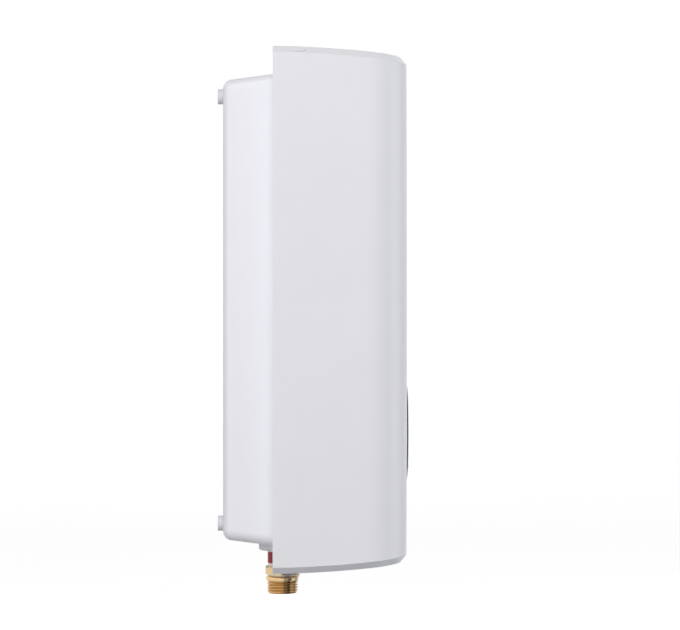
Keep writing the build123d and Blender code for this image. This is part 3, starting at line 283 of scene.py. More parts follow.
def linear(value, factor=1.0):
    """Linear colour of an sRGB hex value, made lighter or darker by a factor."""
    channels = np.array([int(value[i:i + 2], 16) for i in (1, 3, 5)]) / 255
    low = channels / 12.92
    high = ((channels + 0.055) / 1.055) ** 2.4
    colour = np.clip(np.where(channels <= 0.04045, low, high) * factor, 0, 1)
    return (*colour.tolist(), 1.0)


def add(tree, kind, inputs=None, **settings):
    """Adds a shader node with its settings; an input is a value, or a socket to link from."""
    node = tree.nodes.new("ShaderNode" + kind)
    for key, value in settings.items():
        setattr(node, key, value)
    for key, value in (inputs or {}).items():
        socket = node.inputs[key]
        if isinstance(value, bpy.types.NodeSocket):
            tree.links.new(value, socket)
        else:
            socket.default_value = value
    return node


def begun(name):
    """New material, its tree, and the Object coordinates that its patterns read."""
    material = bpy.data.materials.new(name)
    material.use_nodes = True
    tree = material.node_tree
    tree.nodes.clear()
    return material, tree, add(tree, "TexCoord").outputs["Object"]


def ended(material, colour, height, depth, inputs):
    """The material with its bump, of a height and as deep in metres, shader and output."""
    tree = material.node_tree
    bump = add(tree, "Bump", {"Height": height, "Distance": depth})
    shader = add(tree, "BsdfPrincipled",
                 {"Base Color": colour, "Normal": bump.outputs["Normal"], **inputs})
    add(tree, "OutputMaterial", {"Surface": shader.outputs["BSDF"]})
    return material


def moulded(name, colour, roughness, grain, depth, mottle=0.02, coat=0.0):
    """Injection-moulded plastic: an even colour with a slight cloud where the melt cooled, and
    the fine grain that the tool's surface leaves. grain and depth are in millimetres."""
    cloud_size = 38 * MM
    material, tree, place = begun(name)
    cloud = add(tree, "TexNoise", {"Vector": place, "Scale": 1 / cloud_size, "Detail": 3.0,
                                   "Roughness": 0.55}).outputs["Fac"]
    tint = add(tree, "Mix", {"Factor": cloud, 6: linear(colour, 1 - mottle),
                             7: linear(colour, 1 + mottle)}, data_type="RGBA")
    fine = add(tree, "TexNoise", {"Vector": place, "Scale": 1 / (grain * MM), "Detail": 2.0})
    sheen = add(tree, "MapRange", {"Value": cloud, "To Min": roughness * 0.93,
                                   "To Max": roughness * 1.07})
    return ended(material, tint.outputs[2], fine.outputs["Fac"], depth * MM,
                 {"Roughness": sheen.outputs["Result"], "IOR": 1.5, "Coat Weight": coat,
                  "Coat Roughness": 0.06})


def worked_metal(name, colour, roughness, stretch, streak, depth, tarnish=0.06):
    """Turned, drawn or rolled metal: streaks along the way the tool or die went.

    stretch is how much longer the streaks are along X, Y and Z; streak is their width and
    depth their depth, in millimetres. Some places are darker and rougher, as from handling.
    """
    stain_size = 6 * MM
    material, tree, place = begun(name)
    along = add(tree, "Mapping", {"Vector": place, "Scale": tuple(1 / s for s in stretch)})
    lines = add(tree, "TexNoise", {"Vector": along.outputs["Vector"], "Detail": 3.0,
                                   "Scale": 1 / (streak * MM)}).outputs["Fac"]
    stain = add(tree, "TexNoise", {"Vector": place, "Scale": 1 / stain_size, "Detail": 4.0,
                                   "Roughness": 0.6}).outputs["Fac"]
    tint = add(tree, "Mix", {"Factor": stain, 6: linear(colour, 1 - tarnish),
                             7: linear(colour, 1 + tarnish)}, data_type="RGBA")
    blend = add(tree, "Math", {0: lines, 1: stain}, operation="MULTIPLY")
    sheen = add(tree, "MapRange", {"Value": blend.outputs["Value"], "From Max": 0.6,
                                   "To Min": roughness * 0.8, "To Max": roughness * 1.25})
    return ended(material, tint.outputs[2], lines, depth * MM,
                 {"Metallic": 1.0, "Roughness": sheen.outputs["Result"]})


def base_colour(material):
    """Tree of a material, its shader's colour socket and the socket that feeds it."""
    tree = material.node_tree
    shader = next(node for node in tree.nodes if node.type == "BSDF_PRINCIPLED")
    socket = shader.inputs["Base Color"]
    return tree, socket, socket.links[0].from_socket


def root_shade_and_oxide(material, axis, root, crest, colour):
    """Darkens a turned thread's roots as painted shade and oxide, while its crests keep the
    bright colour.

    The share of the bright colour is (distance from the pipe's axis - root) over
    (crest - root), kept between 0 and 1; both pipes stand at the same |x| and y.
    """
    tree, socket, bright = base_colour(material)
    place = add(tree, "SeparateXYZ", {0: add(tree, "TexCoord").outputs["Object"]})
    side = add(tree, "Math", {0: place.outputs["X"]}, operation="ABSOLUTE")
    across = add(tree, "CombineXYZ", {"X": side.outputs["Value"], "Y": place.outputs["Y"]})
    away = add(tree, "VectorMath", {0: across.outputs["Vector"], 1: (*axis, 0.0)},
               operation="DISTANCE")
    share = add(tree, "MapRange",
                {"Value": away.outputs["Value"], "From Min": root, "From Max": crest})
    tint = add(tree, "Mix", {"Factor": share.outputs["Result"], 6: linear(colour), 7: bright},
               data_type="RGBA")
    tree.links.new(tint.outputs[2], socket)


def painted_edge_shade(material, factor):
    """Darkens a moulding's rolled edge as painted shade, the shade that a chamfer there would
    take.

    The share is 1 where the surface has turned 36 degrees or more away from the side, down
    to 0 at 27 degrees, and it fades out where the surface looks down.
    """
    tree, socket, plain = base_colour(material)
    facing = add(tree, "SeparateXYZ", {0: add(tree, "NewGeometry").outputs["Normal"]})
    side = add(tree, "Math", {0: facing.outputs["X"]}, operation="ABSOLUTE")
    turned = add(tree, "MapRange",
                 {"Value": side.outputs["Value"], "From Min": np.cos(np.radians(36.0)),
                  "From Max": np.cos(np.radians(27.0)), "To Min": 1.0, "To Max": 0.0},
                 interpolation_type="SMOOTHSTEP")
    level = add(tree, "MapRange",
                {"Value": facing.outputs["Z"], "From Min": -0.5, "From Max": -0.1})
    share = add(tree, "Math", {0: turned.outputs["Result"], 1: level.outputs["Result"]},
                operation="MULTIPLY")
    tint = add(tree, "Mix", {"Factor": share.outputs["Value"], 6: plain,
                             7: (factor, factor, factor, 1.0)},
               data_type="RGBA", blend_type="MULTIPLY")
    tree.links.new(tint.outputs[2], socket)


def circuit_laminate(name, mask, track):
    """Glass-epoxy board under green solder mask, with the tracks showing through as paler
    lines on a 2.54 mm grid and small round vias."""
    panel, track_pitch, via_pitch, track_height = 20 * MM, 2.54 * MM, 7.6 * MM, 0.03 * MM
    material, tree, place = begun(name)
    flat = add(tree, "SeparateXYZ", {0: place})
    face = add(tree, "CombineXYZ", {"X": flat.outputs["X"], "Y": flat.outputs["Z"]})
    runs = add(tree, "TexBrick",
               {"Vector": face.outputs["Vector"], "Scale": 1 / panel, "Mortar Size": 0.02,
                "Mortar Smooth": 0.1, "Brick Width": 0.9, "Row Height": track_pitch / panel},
               offset=0.35, squash=2.0, squash_frequency=3)
    vias = add(tree, "TexVoronoi", {"Vector": face.outputs["Vector"], "Randomness": 0.6,
                                    "Scale": 1 / via_pitch})
    dot = add(tree, "Math", {0: vias.outputs["Distance"], 1: 0.07}, operation="LESS_THAN")
    either = add(tree, "Math", {0: runs.outputs["Fac"], 1: dot.outputs["Value"]},
                 operation="MAXIMUM").outputs["Value"]
    tint = add(tree, "Mix", {"Factor": either, 6: linear(mask), 7: linear(track)},
               data_type="RGBA")
    return ended(material, tint.outputs[2], either, track_height, {"Roughness": 0.32})


class HousingFinish(bpy.types.Operator):
    """Finishes the moulded cover, rear shell, spacers and what is moulded inside"""

    bl_idname = "heater.housing_finish"
    bl_label = "Housing Finish"

    def execute(self, context):
        colours = context.scene.heater_colours
        # Glossy ABS off a polished tool: a soft reflection over a slight orange peel.
        finish(["front_cover"],
               moulded("glossy_moulded_abs", colours.cover, 0.3, 3.5, 0.002, coat=0.3))
        # Satin ABS off a spark-eroded tool: a fine even grain and no clear reflection.
        satin = moulded("satin_moulded_abs", colours.shell, 0.5, 0.5, 0.006)
        # Painted shade: the shell's rolled edges are darkened where they turn away from the
        # side.
        painted_edge_shade(satin, 0.93)
        finish(["rear_shell"], satin)
        # The spacers are the shell's ABS painted a touch greyer as shade, and a little duller.
        finish(["wall_spacers"], moulded("shaded_spacer_abs", "#D9D9DF", 0.6, 0.4, 0.01))
        # Polypropylene clips and trays inside: milky and a little waxy.
        finish(["electronics_carrier", "cable_clamp"],
               moulded("natural_polypropylene", "#D2D3D2", 0.42, 0.8, 0.004))
        # EPDM rubber: dull, nearly black, with a dusty bloom.
        finish(["cable_grommet", "pipe_seals"],
               moulded("moulded_epdm_rubber", "#2B2B2C", 0.75, 0.6, 0.01, 0.12))
        return {"FINISHED"}


class WaterWayFinish(bpy.types.Operator):
    """Finishes the heating block, pipes, nuts, sleeves and the flow sensor"""

    bl_idname = "heater.water_way_finish"
    bl_label = "Water Way Finish"

    def execute(self, context):
        colours = context.scene.heater_colours
        # Glass-filled polyamide: black-grey with short pale fibres near the skin.
        finish(["heating_block", "heating_block_lid"],
               moulded("glass_filled_polyamide", "#34373A", 0.55, 0.45, 0.012, 0.14))
        # Acetal: hard and slippery, with a low even sheen.
        finish(["flow_sensor_body"], moulded("black_acetal", "#232426", 0.4, 0.7, 0.006, 0.08))
        finish(["turbine_guides", "inlet_strainer"],
               moulded("grey_acetal", "#A3A7A9", 0.4, 0.7, 0.006, 0.05))
        finish(["flow_turbine"], moulded("white_acetal", "#E2E3E1", 0.36, 0.7, 0.004))
        # Nickel-plated copper tube: a warm grey with draw lines along its length.
        finish(["hot_outlet_pipe", "cold_inlet_pipe", "cold_feed_pipe"],
               worked_metal("nickel_plated_tube", colours.nickel, 0.42, (1, 1, 30), 0.35,
                            0.002))
        # Hexagon brass bar, turned on its ends: pale gold with a satin face.
        finish(["hot_union_nut", "cold_union_nut", "element_terminals"],
               worked_metal("machined_brass", "#E3C59C", 0.3, (1, 1, 12), 0.4, 0.002))
        # Shrunk PVC sleeves: coloured through, with a low sheen.
        finish(["hot_marker_sleeve"],
               moulded("red_pvc_sleeve", colours.hot_sleeve, 0.55, 0.9, 0.006, 0.04))
        finish(["cold_marker_sleeve"],
               moulded("blue_pvc_sleeve", colours.cold_sleeve, 0.55, 0.9, 0.006, 0.04))
        # Drawn incoloy tube of the heating elements: olive grey from annealing.
        finish(["heating_elements"],
               worked_metal("annealed_sheath", "#77736A", 0.5, (1, 1, 20), 0.4, 0.004, 0.12))
        # Drawn spring steel: a neutral grey with lines along its length.
        finish(["outlet_sensor", "turbine_axle", "knob_clip"],
               worked_metal("spring_steel", "#A9A9A6", 0.3, (20, 1, 1), 0.3, 0.002))
        return {"FINISHED"}


class ElectronicsFinish(bpy.types.Operator):
    """Finishes the circuit board, relays, terminals, leads and the safety cut-out"""

    bl_idname = "heater.electronics_finish"
    bl_label = "Electronics Finish"

    def execute(self, context):
        # Green mask over the tracks: satin, with the tracks a little raised and paler.
        finish(["control_board"], circuit_laminate("green_solder_mask", "#1D5A35", "#3F8B55"))
        # Moulded cases, packages and terminals: hard plastics with a fine grain.
        finish(["power_relays", "hall_sensor"],
               moulded("black_pbt_case", "#26272A", 0.45, 0.6, 0.006, 0.06))
        finish(["board_chips"], moulded("epoxy_package", "#1D1D1E", 0.55, 0.25, 0.008, 0.1))
        finish(["power_connector"], moulded("green_polyamide", "#2E8A4E", 0.4, 0.6, 0.005))
        finish(["board_connectors"], moulded("cream_polyamide", "#E3DCC6", 0.45, 0.6, 0.005))
        finish(["terminal_block"], moulded("ivory_melamine", "#DDD9CC", 0.35, 0.9, 0.005))
        # Shrunk PET film over the cans: dark blue, and glossier than the cases.
        finish(["capacitors"], moulded("shrunk_pet_sleeve", "#23283F", 0.25, 1.2, 0.003, 0.05))
        # Extruded aluminium, left raw: long lines across the block's fins.
        finish(["heat_sink"],
               worked_metal("extruded_aluminium", "#C3C5C6", 0.34, (1, 1, 25), 0.3, 0.004))
        # Zinc under nickel: a warmer grey than the steel, with faint lines.
        finish(["potentiometer_body", "potentiometer_spindle"],
               worked_metal("nickelled_zinc", "#B9B9B4", 0.35, (12, 1, 12), 0.3, 0.003))
        # The cut-out is brown-black phenolic, and its button glossy red polycarbonate.
        finish(["safety_cutout"], moulded("phenolic_body", "#2A2625", 0.4, 0.8, 0.008, 0.1))
        finish(["reset_button"], moulded("red_polycarbonate", "#B32A2A", 0.25, 1.2, 0.003))
        # Leads: smooth PVC on the mains side, duller silicone where it is hot.
        finish(["power_leads"], moulded("brown_pvc_lead", "#5A3A28", 0.45, 0.8, 0.006, 0.05))
        finish(["element_leads"],
               moulded("black_silicone_lead", "#28282A", 0.6, 0.5, 0.01, 0.08))
        return {"FINISHED"}


class DialFinish(bpy.types.Operator):
    """Finishes the dial and prints its scale and numbers"""

    bl_idname = "heater.dial_finish"
    bl_label = "Dial Finish"

    first_angle, first_number = -135, 30  # where the scale starts, in degrees from the top
    number_angle, number_step, numbers = 45, 5, 7
    marks_between = 5  # small steps of the scale from one number to the next

    def crown(self, sizes, across, up, radius, front):
        """Depth of the knob's face at points across and up from its middle.

        depth = front - crown * (distance / radius) ^ 8, less the finger dimple: part of a
        sphere of radius (a^2 + d^2) / 2d, for a dimple of radius a and depth d.
        """
        a, d = sizes.dimple_radius, sizes.dimple_depth
        bowl = (a * a + d * d) / (2 * d)
        off = np.hypot(across, up + sizes.dimple_offset)
        dent = np.sqrt(np.maximum(bowl ** 2 - off ** 2, 0)) - (bowl - d)
        share = np.hypot(across, up) / radius
        return front - sizes.knob_crown * share ** 8 - np.maximum(dent, 0)

    def knob_shell(self, sizes, radius, rear, front):
        """Mesh of the knob without its pip, turned from one profile, with its axis along Z.

        The profile goes from the socket's end over the hub with its clip groove, the back of
        the face and the skirt, round the edge by a quarter circle, and over the crown.
        """
        face_back = front - 2.35 * MM
        skirt, skirt_end = radius - 2.4 * MM, rear + 15.6 * MM
        hub, groove, bore = 7.5 * MM, 6.5 * MM, 3.12 * MM
        socket_end = -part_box("potentiometer_spindle")[0].y + 1.0 * MM
        clip_rear, clip_front = rear + 3.0 * MM, rear + 4.2 * MM
        edge = 0.3 * MM
        shoulder = front - sizes.knob_crown - edge
        inside = ramp([(bore, socket_end), (bore, rear), (hub, rear), (hub, clip_rear),
                       (groove, clip_rear), (groove, clip_front), (hub, clip_front),
                       (hub, face_back), (skirt, face_back), (skirt, skirt_end),
                       (radius, skirt_end), (radius, shoulder)],
                      [4, 2, 1, 1, 1, 1, 2, 12, 2, 1, 3])
        bend = np.linspace(0, np.pi / 2, 5)[1:]
        turn = stacked(radius - edge + edge * np.cos(bend), shoulder + edge * np.sin(bend))
        rings = np.linspace(radius - edge, 0.01 * radius, 44)[1:]
        profile = np.vstack([inside, turn, stacked(rings, np.full(len(rings), front))])
        grid = lathe(profile, 144)
        on_face = np.arange(len(profile)) >= len(inside) + len(turn)
        face = self.crown(sizes, grid[..., 0], grid[..., 1], radius, front)
        grid[..., 2] = np.where(on_face[:, None], face, grid[..., 2])
        # Ribs that stiffen the face from behind: bars from the hub to the skirt.
        ribs, rib_half, rib_depth, hair = 6, 0.8 * MM, 2.6 * MM, 0.001 * MM
        spoke = np.arctan2(grid[..., 1], grid[..., 0]) / (TURN / ribs)
        near = (np.abs(spoke - np.round(spoke)) * TURN / ribs
                * np.hypot(grid[..., 0], grid[..., 1]))
        behind = ((np.abs(profile[:, 1] - face_back) < hair) & (profile[:, 0] > hub + hair)
                  & (profile[:, 0] < skirt - hair))[:, None]
        grid[..., 2] -= np.where(behind & (near < rib_half), rib_depth, 0)
        return surface("knob_shell", grid, cap_start=True, cap_end=True)

    def knob(self, sizes, colours):
        """Makes the knob with its pip and the pointer line on its face; gives its radius."""
        low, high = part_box("temperature_knob")
        radius = (high.x - low.x) / 2
        middle = (low + high) / 2
        front = -low.y - sizes.pip_height
        shell = self.knob_shell(sizes, radius, -high.y, front)
        # Pip at the lower edge: a low dome, h = height * cos(a), r = radius * sin(a).
        slope = np.linspace(np.pi / 2, 0.1, 7)
        rooted = 0.2 * MM
        dot = lathe(stacked(sizes.pip_radius * np.sin(slope),
                            front - rooted + (sizes.pip_height + rooted) * np.cos(slope)), 20)
        dot[..., 1] -= sizes.pip_offset
        pip = surface("knob_pip", dot, cap_end=True)
        # Pointer: a thin raised line that follows the crown, closed by a skirt all round.
        along = np.linspace(radius - 12.0 * MM, radius - 3.0 * MM, 24)
        cross = np.array([-0.9, -0.84, 0.84, 0.9]) * MM
        up, across = np.meshgrid(along, cross, indexing="ij")
        height, skirt = 0.12 * MM, 0.2 * MM
        depth = self.crown(sizes, across, up, radius, front) + height
        depth[:, [0, 3]] -= skirt
        depth[[0, -1]] -= skirt
        line = surface("pointer_line", stacked(across, up, depth)[:, ::-1], close_u=False)
        # Knob of dark ABS off a polished tool, like a dark button under clear lacquer.
        dark = moulded("polished_dark_abs", colours.knob, 0.42, 2.5, 0.003, 0.03)
        # Hot-stamped white line: even and nearly matt.
        white = moulded("white_print", "#E9E9E6", 0.5, 0.5, 0.002)
        for node, name, mesh, material, slot in (
                ("temperature_knob", "knob_crowned", merged("knob_crowned", [shell, pip]),
                 dark, "knob_dark"),
                ("knob_pointer", "pointer_line", line, white, "pointer_white")):
            across, up, depth = points_of(mesh).T
            laid = stacked(middle.x + across, -depth, middle.z + up)
            mesh.vertices.foreach_set("co", laid.ravel())
            replaced(node, name, creased(mesh), material)
        return radius

    def figure(self, n, height):
        """Flat mesh of a number of the scale, the n-th from its start, about the origin."""
        name = f"figure_{n}"
        text = bpy.data.curves.new(name, "FONT")
        text.body = str(self.first_number + self.number_step * n)
        text.align_x = text.align_y = "CENTER"
        text.size = height
        text.resolution_u = 4
        holder = bpy.data.objects.new(name, text)
        bpy.context.scene.collection.objects.link(holder)
        bpy.context.view_layer.update()
        mesh = bpy.data.meshes.new_from_object(
            holder.evaluated_get(bpy.context.evaluated_depsgraph_get()))
        bpy.data.objects.remove(holder)
        return mesh

    def execute(self, context):
        sizes = context.scene.heater_sizes
        colours = context.scene.heater_colours
        # Light ABS with a satin face, and pad-printed ink that lies on it nearly matt.
        finish(["dial_ring"], moulded("satin_light_abs", colours.dial_trim, 0.36, 0.9, 0.004))
        ink = moulded("pad_print_ink", colours.ink, 0.5, 0.5, 0.002)
        low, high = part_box("dial_ring")
        middle = (low + high) / 2
        outer = (high.x - low.x) / 2
        inner = self.knob(sizes, colours) + 0.6 * MM
        start = inner + 2.0 * MM
        lip, fall = 1.8 * MM, 1.2 * MM
        crest = -low.y

        def on_ring(points):
            """Lays flat points, X and Z about the dial's axis, on the ring's sloping face.

            depth = crest on the lip, then falls in proportion to the radius to the rim."""
            radius = np.hypot(points[:, 0], points[:, 1])
            share = np.clip((radius - inner - lip) / (outer - inner - lip), 0, 1)
            depth = crest - share * fall + sizes.print_height
            return stacked(points[:, 0] + middle.x, -depth, points[:, 1] + middle.z)

        marks = []
        for n in range((self.numbers - 1) * self.marks_between + 1):
            angle = np.radians(self.first_angle + self.number_angle / self.marks_between * n)
            # Share of a long mark's length, and half the width.
            share, half = (0.55, 0.18 * MM) if n % self.marks_between else (1.0, 0.32 * MM)
            length = sizes.tick_length * share
            along, aside = np.meshgrid(np.linspace(start, start + length, 4), [-half, half],
                                       indexing="ij")
            turned = stacked(along * np.sin(angle) + aside * np.cos(angle),
                             along * np.cos(angle) - aside * np.sin(angle))
            grid = on_ring(turned.reshape(-1, 2)).reshape(4, 2, 3)
            marks.append(surface(f"mark_{n}", grid, close_u=False))
        scale = placed("dial_scale", merged("dial_scale", marks), ink, "dial_ring")
        scale.data.flip_normals()
        figures = []
        for n in range(self.numbers):
            angle = np.radians(self.first_angle + self.number_angle * n)
            mesh = self.figure(n, sizes.numeral_height)
            centre = sizes.numeral_radius * np.array([np.sin(angle), np.cos(angle)])
            mesh.vertices.foreach_set("co", on_ring(points_of(mesh)[:, :2] + centre).ravel())
            figures.append(mesh)
        placed("dial_numbers", merged("dial_numbers", figures), ink, "dial_ring")
        return {"FINISHED"}


class ConnectionThreads(bpy.types.Operator):
    """Turns the collar and cuts the pipe thread of both water connections"""

    bl_idname = "heater.connection_threads"
    bl_label = "Connection Threads"

    def execute(self, context):
        sizes = context.scene.heater_sizes
        # Turned brass: fine rings from the lathe; the thread's roots are painted darker and
        # browner, as shade and oxide.
        brass = worked_metal("turned_brass", context.scene.heater_colours.brass, 0.12,
                             (6, 6, 1), 0.25, 0.001, 0.1)
        low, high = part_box("cold_nipple")
        axis = ((low.x + high.x) / 2, (low.y + high.y) / 2)
        crest = PIPE_THREAD
        # Painted shade and oxide: the thread's roots get a darker, browner brass.
        root_shade_and_oxide(brass, axis, crest - sizes.thread_depth, crest - 0.5 * MM, "#BA9866")
        bore, bevel, corner, mouth = sizes.bore_radius, 0.8 * MM, 0.3 * MM, 0.4 * MM
        neck, lead_in = crest - 0.9 * MM, 1.0 * MM
        for side in ("hot", "cold"):
            low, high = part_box(f"{side}_nipple")
            middle = (low + high) / 2
            collar = (high.x - low.x) / 2
            top, bottom = high.z, low.z
            shoulder = top - sizes.collar_height
            run_out = shoulder - 0.5 * MM
            profile = ramp(
                [(bore, top), (collar - bevel, top), (collar, top - bevel),
                 (collar, shoulder + corner), (collar - corner, shoulder), (neck, shoulder),
                 (neck, run_out), (crest, run_out), (crest, bottom + lead_in),
                 (crest - lead_in, bottom), (bore + mouth, bottom), (bore, bottom + mouth),
                 (bore, top)],
                [3, 2, 4, 1, 1, 2, 1, 150, 10, 2, 1, 4])

            def cut(angle, radius, height):
                """radius - depth times the thread's wave of (height / pitch - angle / turn),
                faded in over a tenth of a turn below the collar, and only on the outside."""
                wave = thread_wave(height / sizes.thread_pitch - angle / TURN
                                   + sizes.thread_start)
                fade = np.clip((run_out - height) / (0.1 * sizes.thread_pitch), 0, 1)
                outside = (radius > crest - lead_in - 0.01 * MM) & (height < run_out)
                root = crest - sizes.thread_depth * wave * fade
                return np.where(outside, np.minimum(radius, root), radius)

            grid = lathe(profile[:-1], 96, cut)[:, ::-1]
            grid = np.vstack([grid, grid[:1]]) + np.array([middle.x, middle.y, 0])
            name = f"{side}_thread"
            replaced(f"{side}_nipple", name, surface(name, grid), brass)
        return {"FINISHED"}


class CrossScrews(bpy.types.Operator):
    """Makes the zinc-plated screws with their cross recess and thread"""

    bl_idname = "heater.cross_screws"
    bl_label = "Cross Screws"

    inner_screws = ("carrier_screws", "board_screws", "block_screws", "block_mount_screws",
                    "cable_clamp_screws")
    head_height = 2.2 * MM
    usual_head = 3.3 * MM  # head radius that the recess depth is given for
    inner_shank, cover_shank = 0.485, 1.6 * MM  # share of the head's radius, and a radius
    one_screw = 9 * MM  # what lies this close to a screw's points is the same screw
    dome_rings = 12

    def screw(self, sizes, head, shank, length):
        """Grid of one screw that stands on its head's top at height 0 and points down.

        A profile goes from the recess's middle over the domed head, under it and down the
        shank; the recess lowers points near two crossed bars, by depth times a soft edge of
        the distance to the nearest bar, and the shank's radius follows a helix.
        """
        share = np.linspace(0.03, 1, self.dome_rings)
        dome = stacked(head * share, -0.35 * self.head_height * share ** 3)
        point = 1.6 * shank
        rest = ramp([dome[-1], (head, -self.head_height * 0.85),
                     (head * 0.97, -self.head_height), (shank, -self.head_height),
                     (shank, -length + point), (0.12 * shank, -length)], [2, 1, 2, 44, 6])
        profile = np.vstack([dome, rest[1:]])

        def twist(angle, radius, height):
            """radius less 22 % of it times the thread's wave, shallower towards the point."""
            below = height < -self.head_height - 0.3 * MM
            wave = thread_wave(height / sizes.screw_pitch - angle / TURN)
            taper = np.clip((height + length) / point, 0, 1)
            return np.where(below, radius * (1 - 0.22 * wave * (0.4 + 0.6 * taper)), radius)

        grid = lathe(profile, 32, twist)
        x, y = np.abs(grid[..., 0]), np.abs(grid[..., 1])
        arm, reach = 0.14 * head, 0.62 * head
        bar = np.minimum(np.maximum(y / arm, x / reach), np.maximum(x / arm, y / reach))
        sunk = np.clip((1.35 - bar) / 0.5, 0, 1)
        on_head = np.arange(len(profile))[:, None] < self.dome_rings
        depth = sizes.recess_depth * head / self.usual_head
        grid[..., 2] -= np.where(on_head, depth * sunk, 0)
        return grid

    def execute(self, context):
        sizes = context.scene.heater_sizes
        # Bright zinc plate with a clear passivation: a cool grey with a faint blue cast.
        zinc = worked_metal("zinc_plated_steel", "#B9BDC2", 0.3, (1, 1, 1), 0.5, 0.003, 0.05)
        # The inner screws point to the wall, each turned a little further than the last.
        for node in self.inner_screws:
            meshes = []
            for n, (low, high) in enumerate(groups_of(node, self.one_screw)):
                head = (high[0] - low[0]) / 2
                grid = self.screw(sizes, head, self.inner_shank * head, high[1] - low[1])
                centre = (low + high) / 2
                turn = 0.7 * n + 0.3
                x = grid[..., 0] * np.cos(turn) - grid[..., 1] * np.sin(turn)
                y = grid[..., 0] * np.sin(turn) + grid[..., 1] * np.cos(turn)
                laid = stacked(centre[0] + x, low[1] - grid[..., 2], centre[2] + y)
                meshes.append(surface(f"{node}_{n}", laid, cap_start=True, cap_end=True))
            name = f"{node}_cut"
            replaced(node, name, merged(name, meshes), zinc)
        # The cover's screw points up.
        low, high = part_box("cover_screw")
        centre = (low + high) / 2
        grid = self.screw(sizes, (high.x - low.x) / 2, self.cover_shank, high.z - low.z)
        laid = stacked(centre.x + grid[..., 0], centre.y + grid[..., 1],
                       low.z - grid[..., 2])[:, ::-1]
        mesh = surface("cover_screw_cut", laid, cap_start=True, cap_end=True)
        replaced("cover_screw", "cover_screw_cut", mesh, zinc)
        finish(["terminal_screws"], zinc)
        return {"FINISHED"}


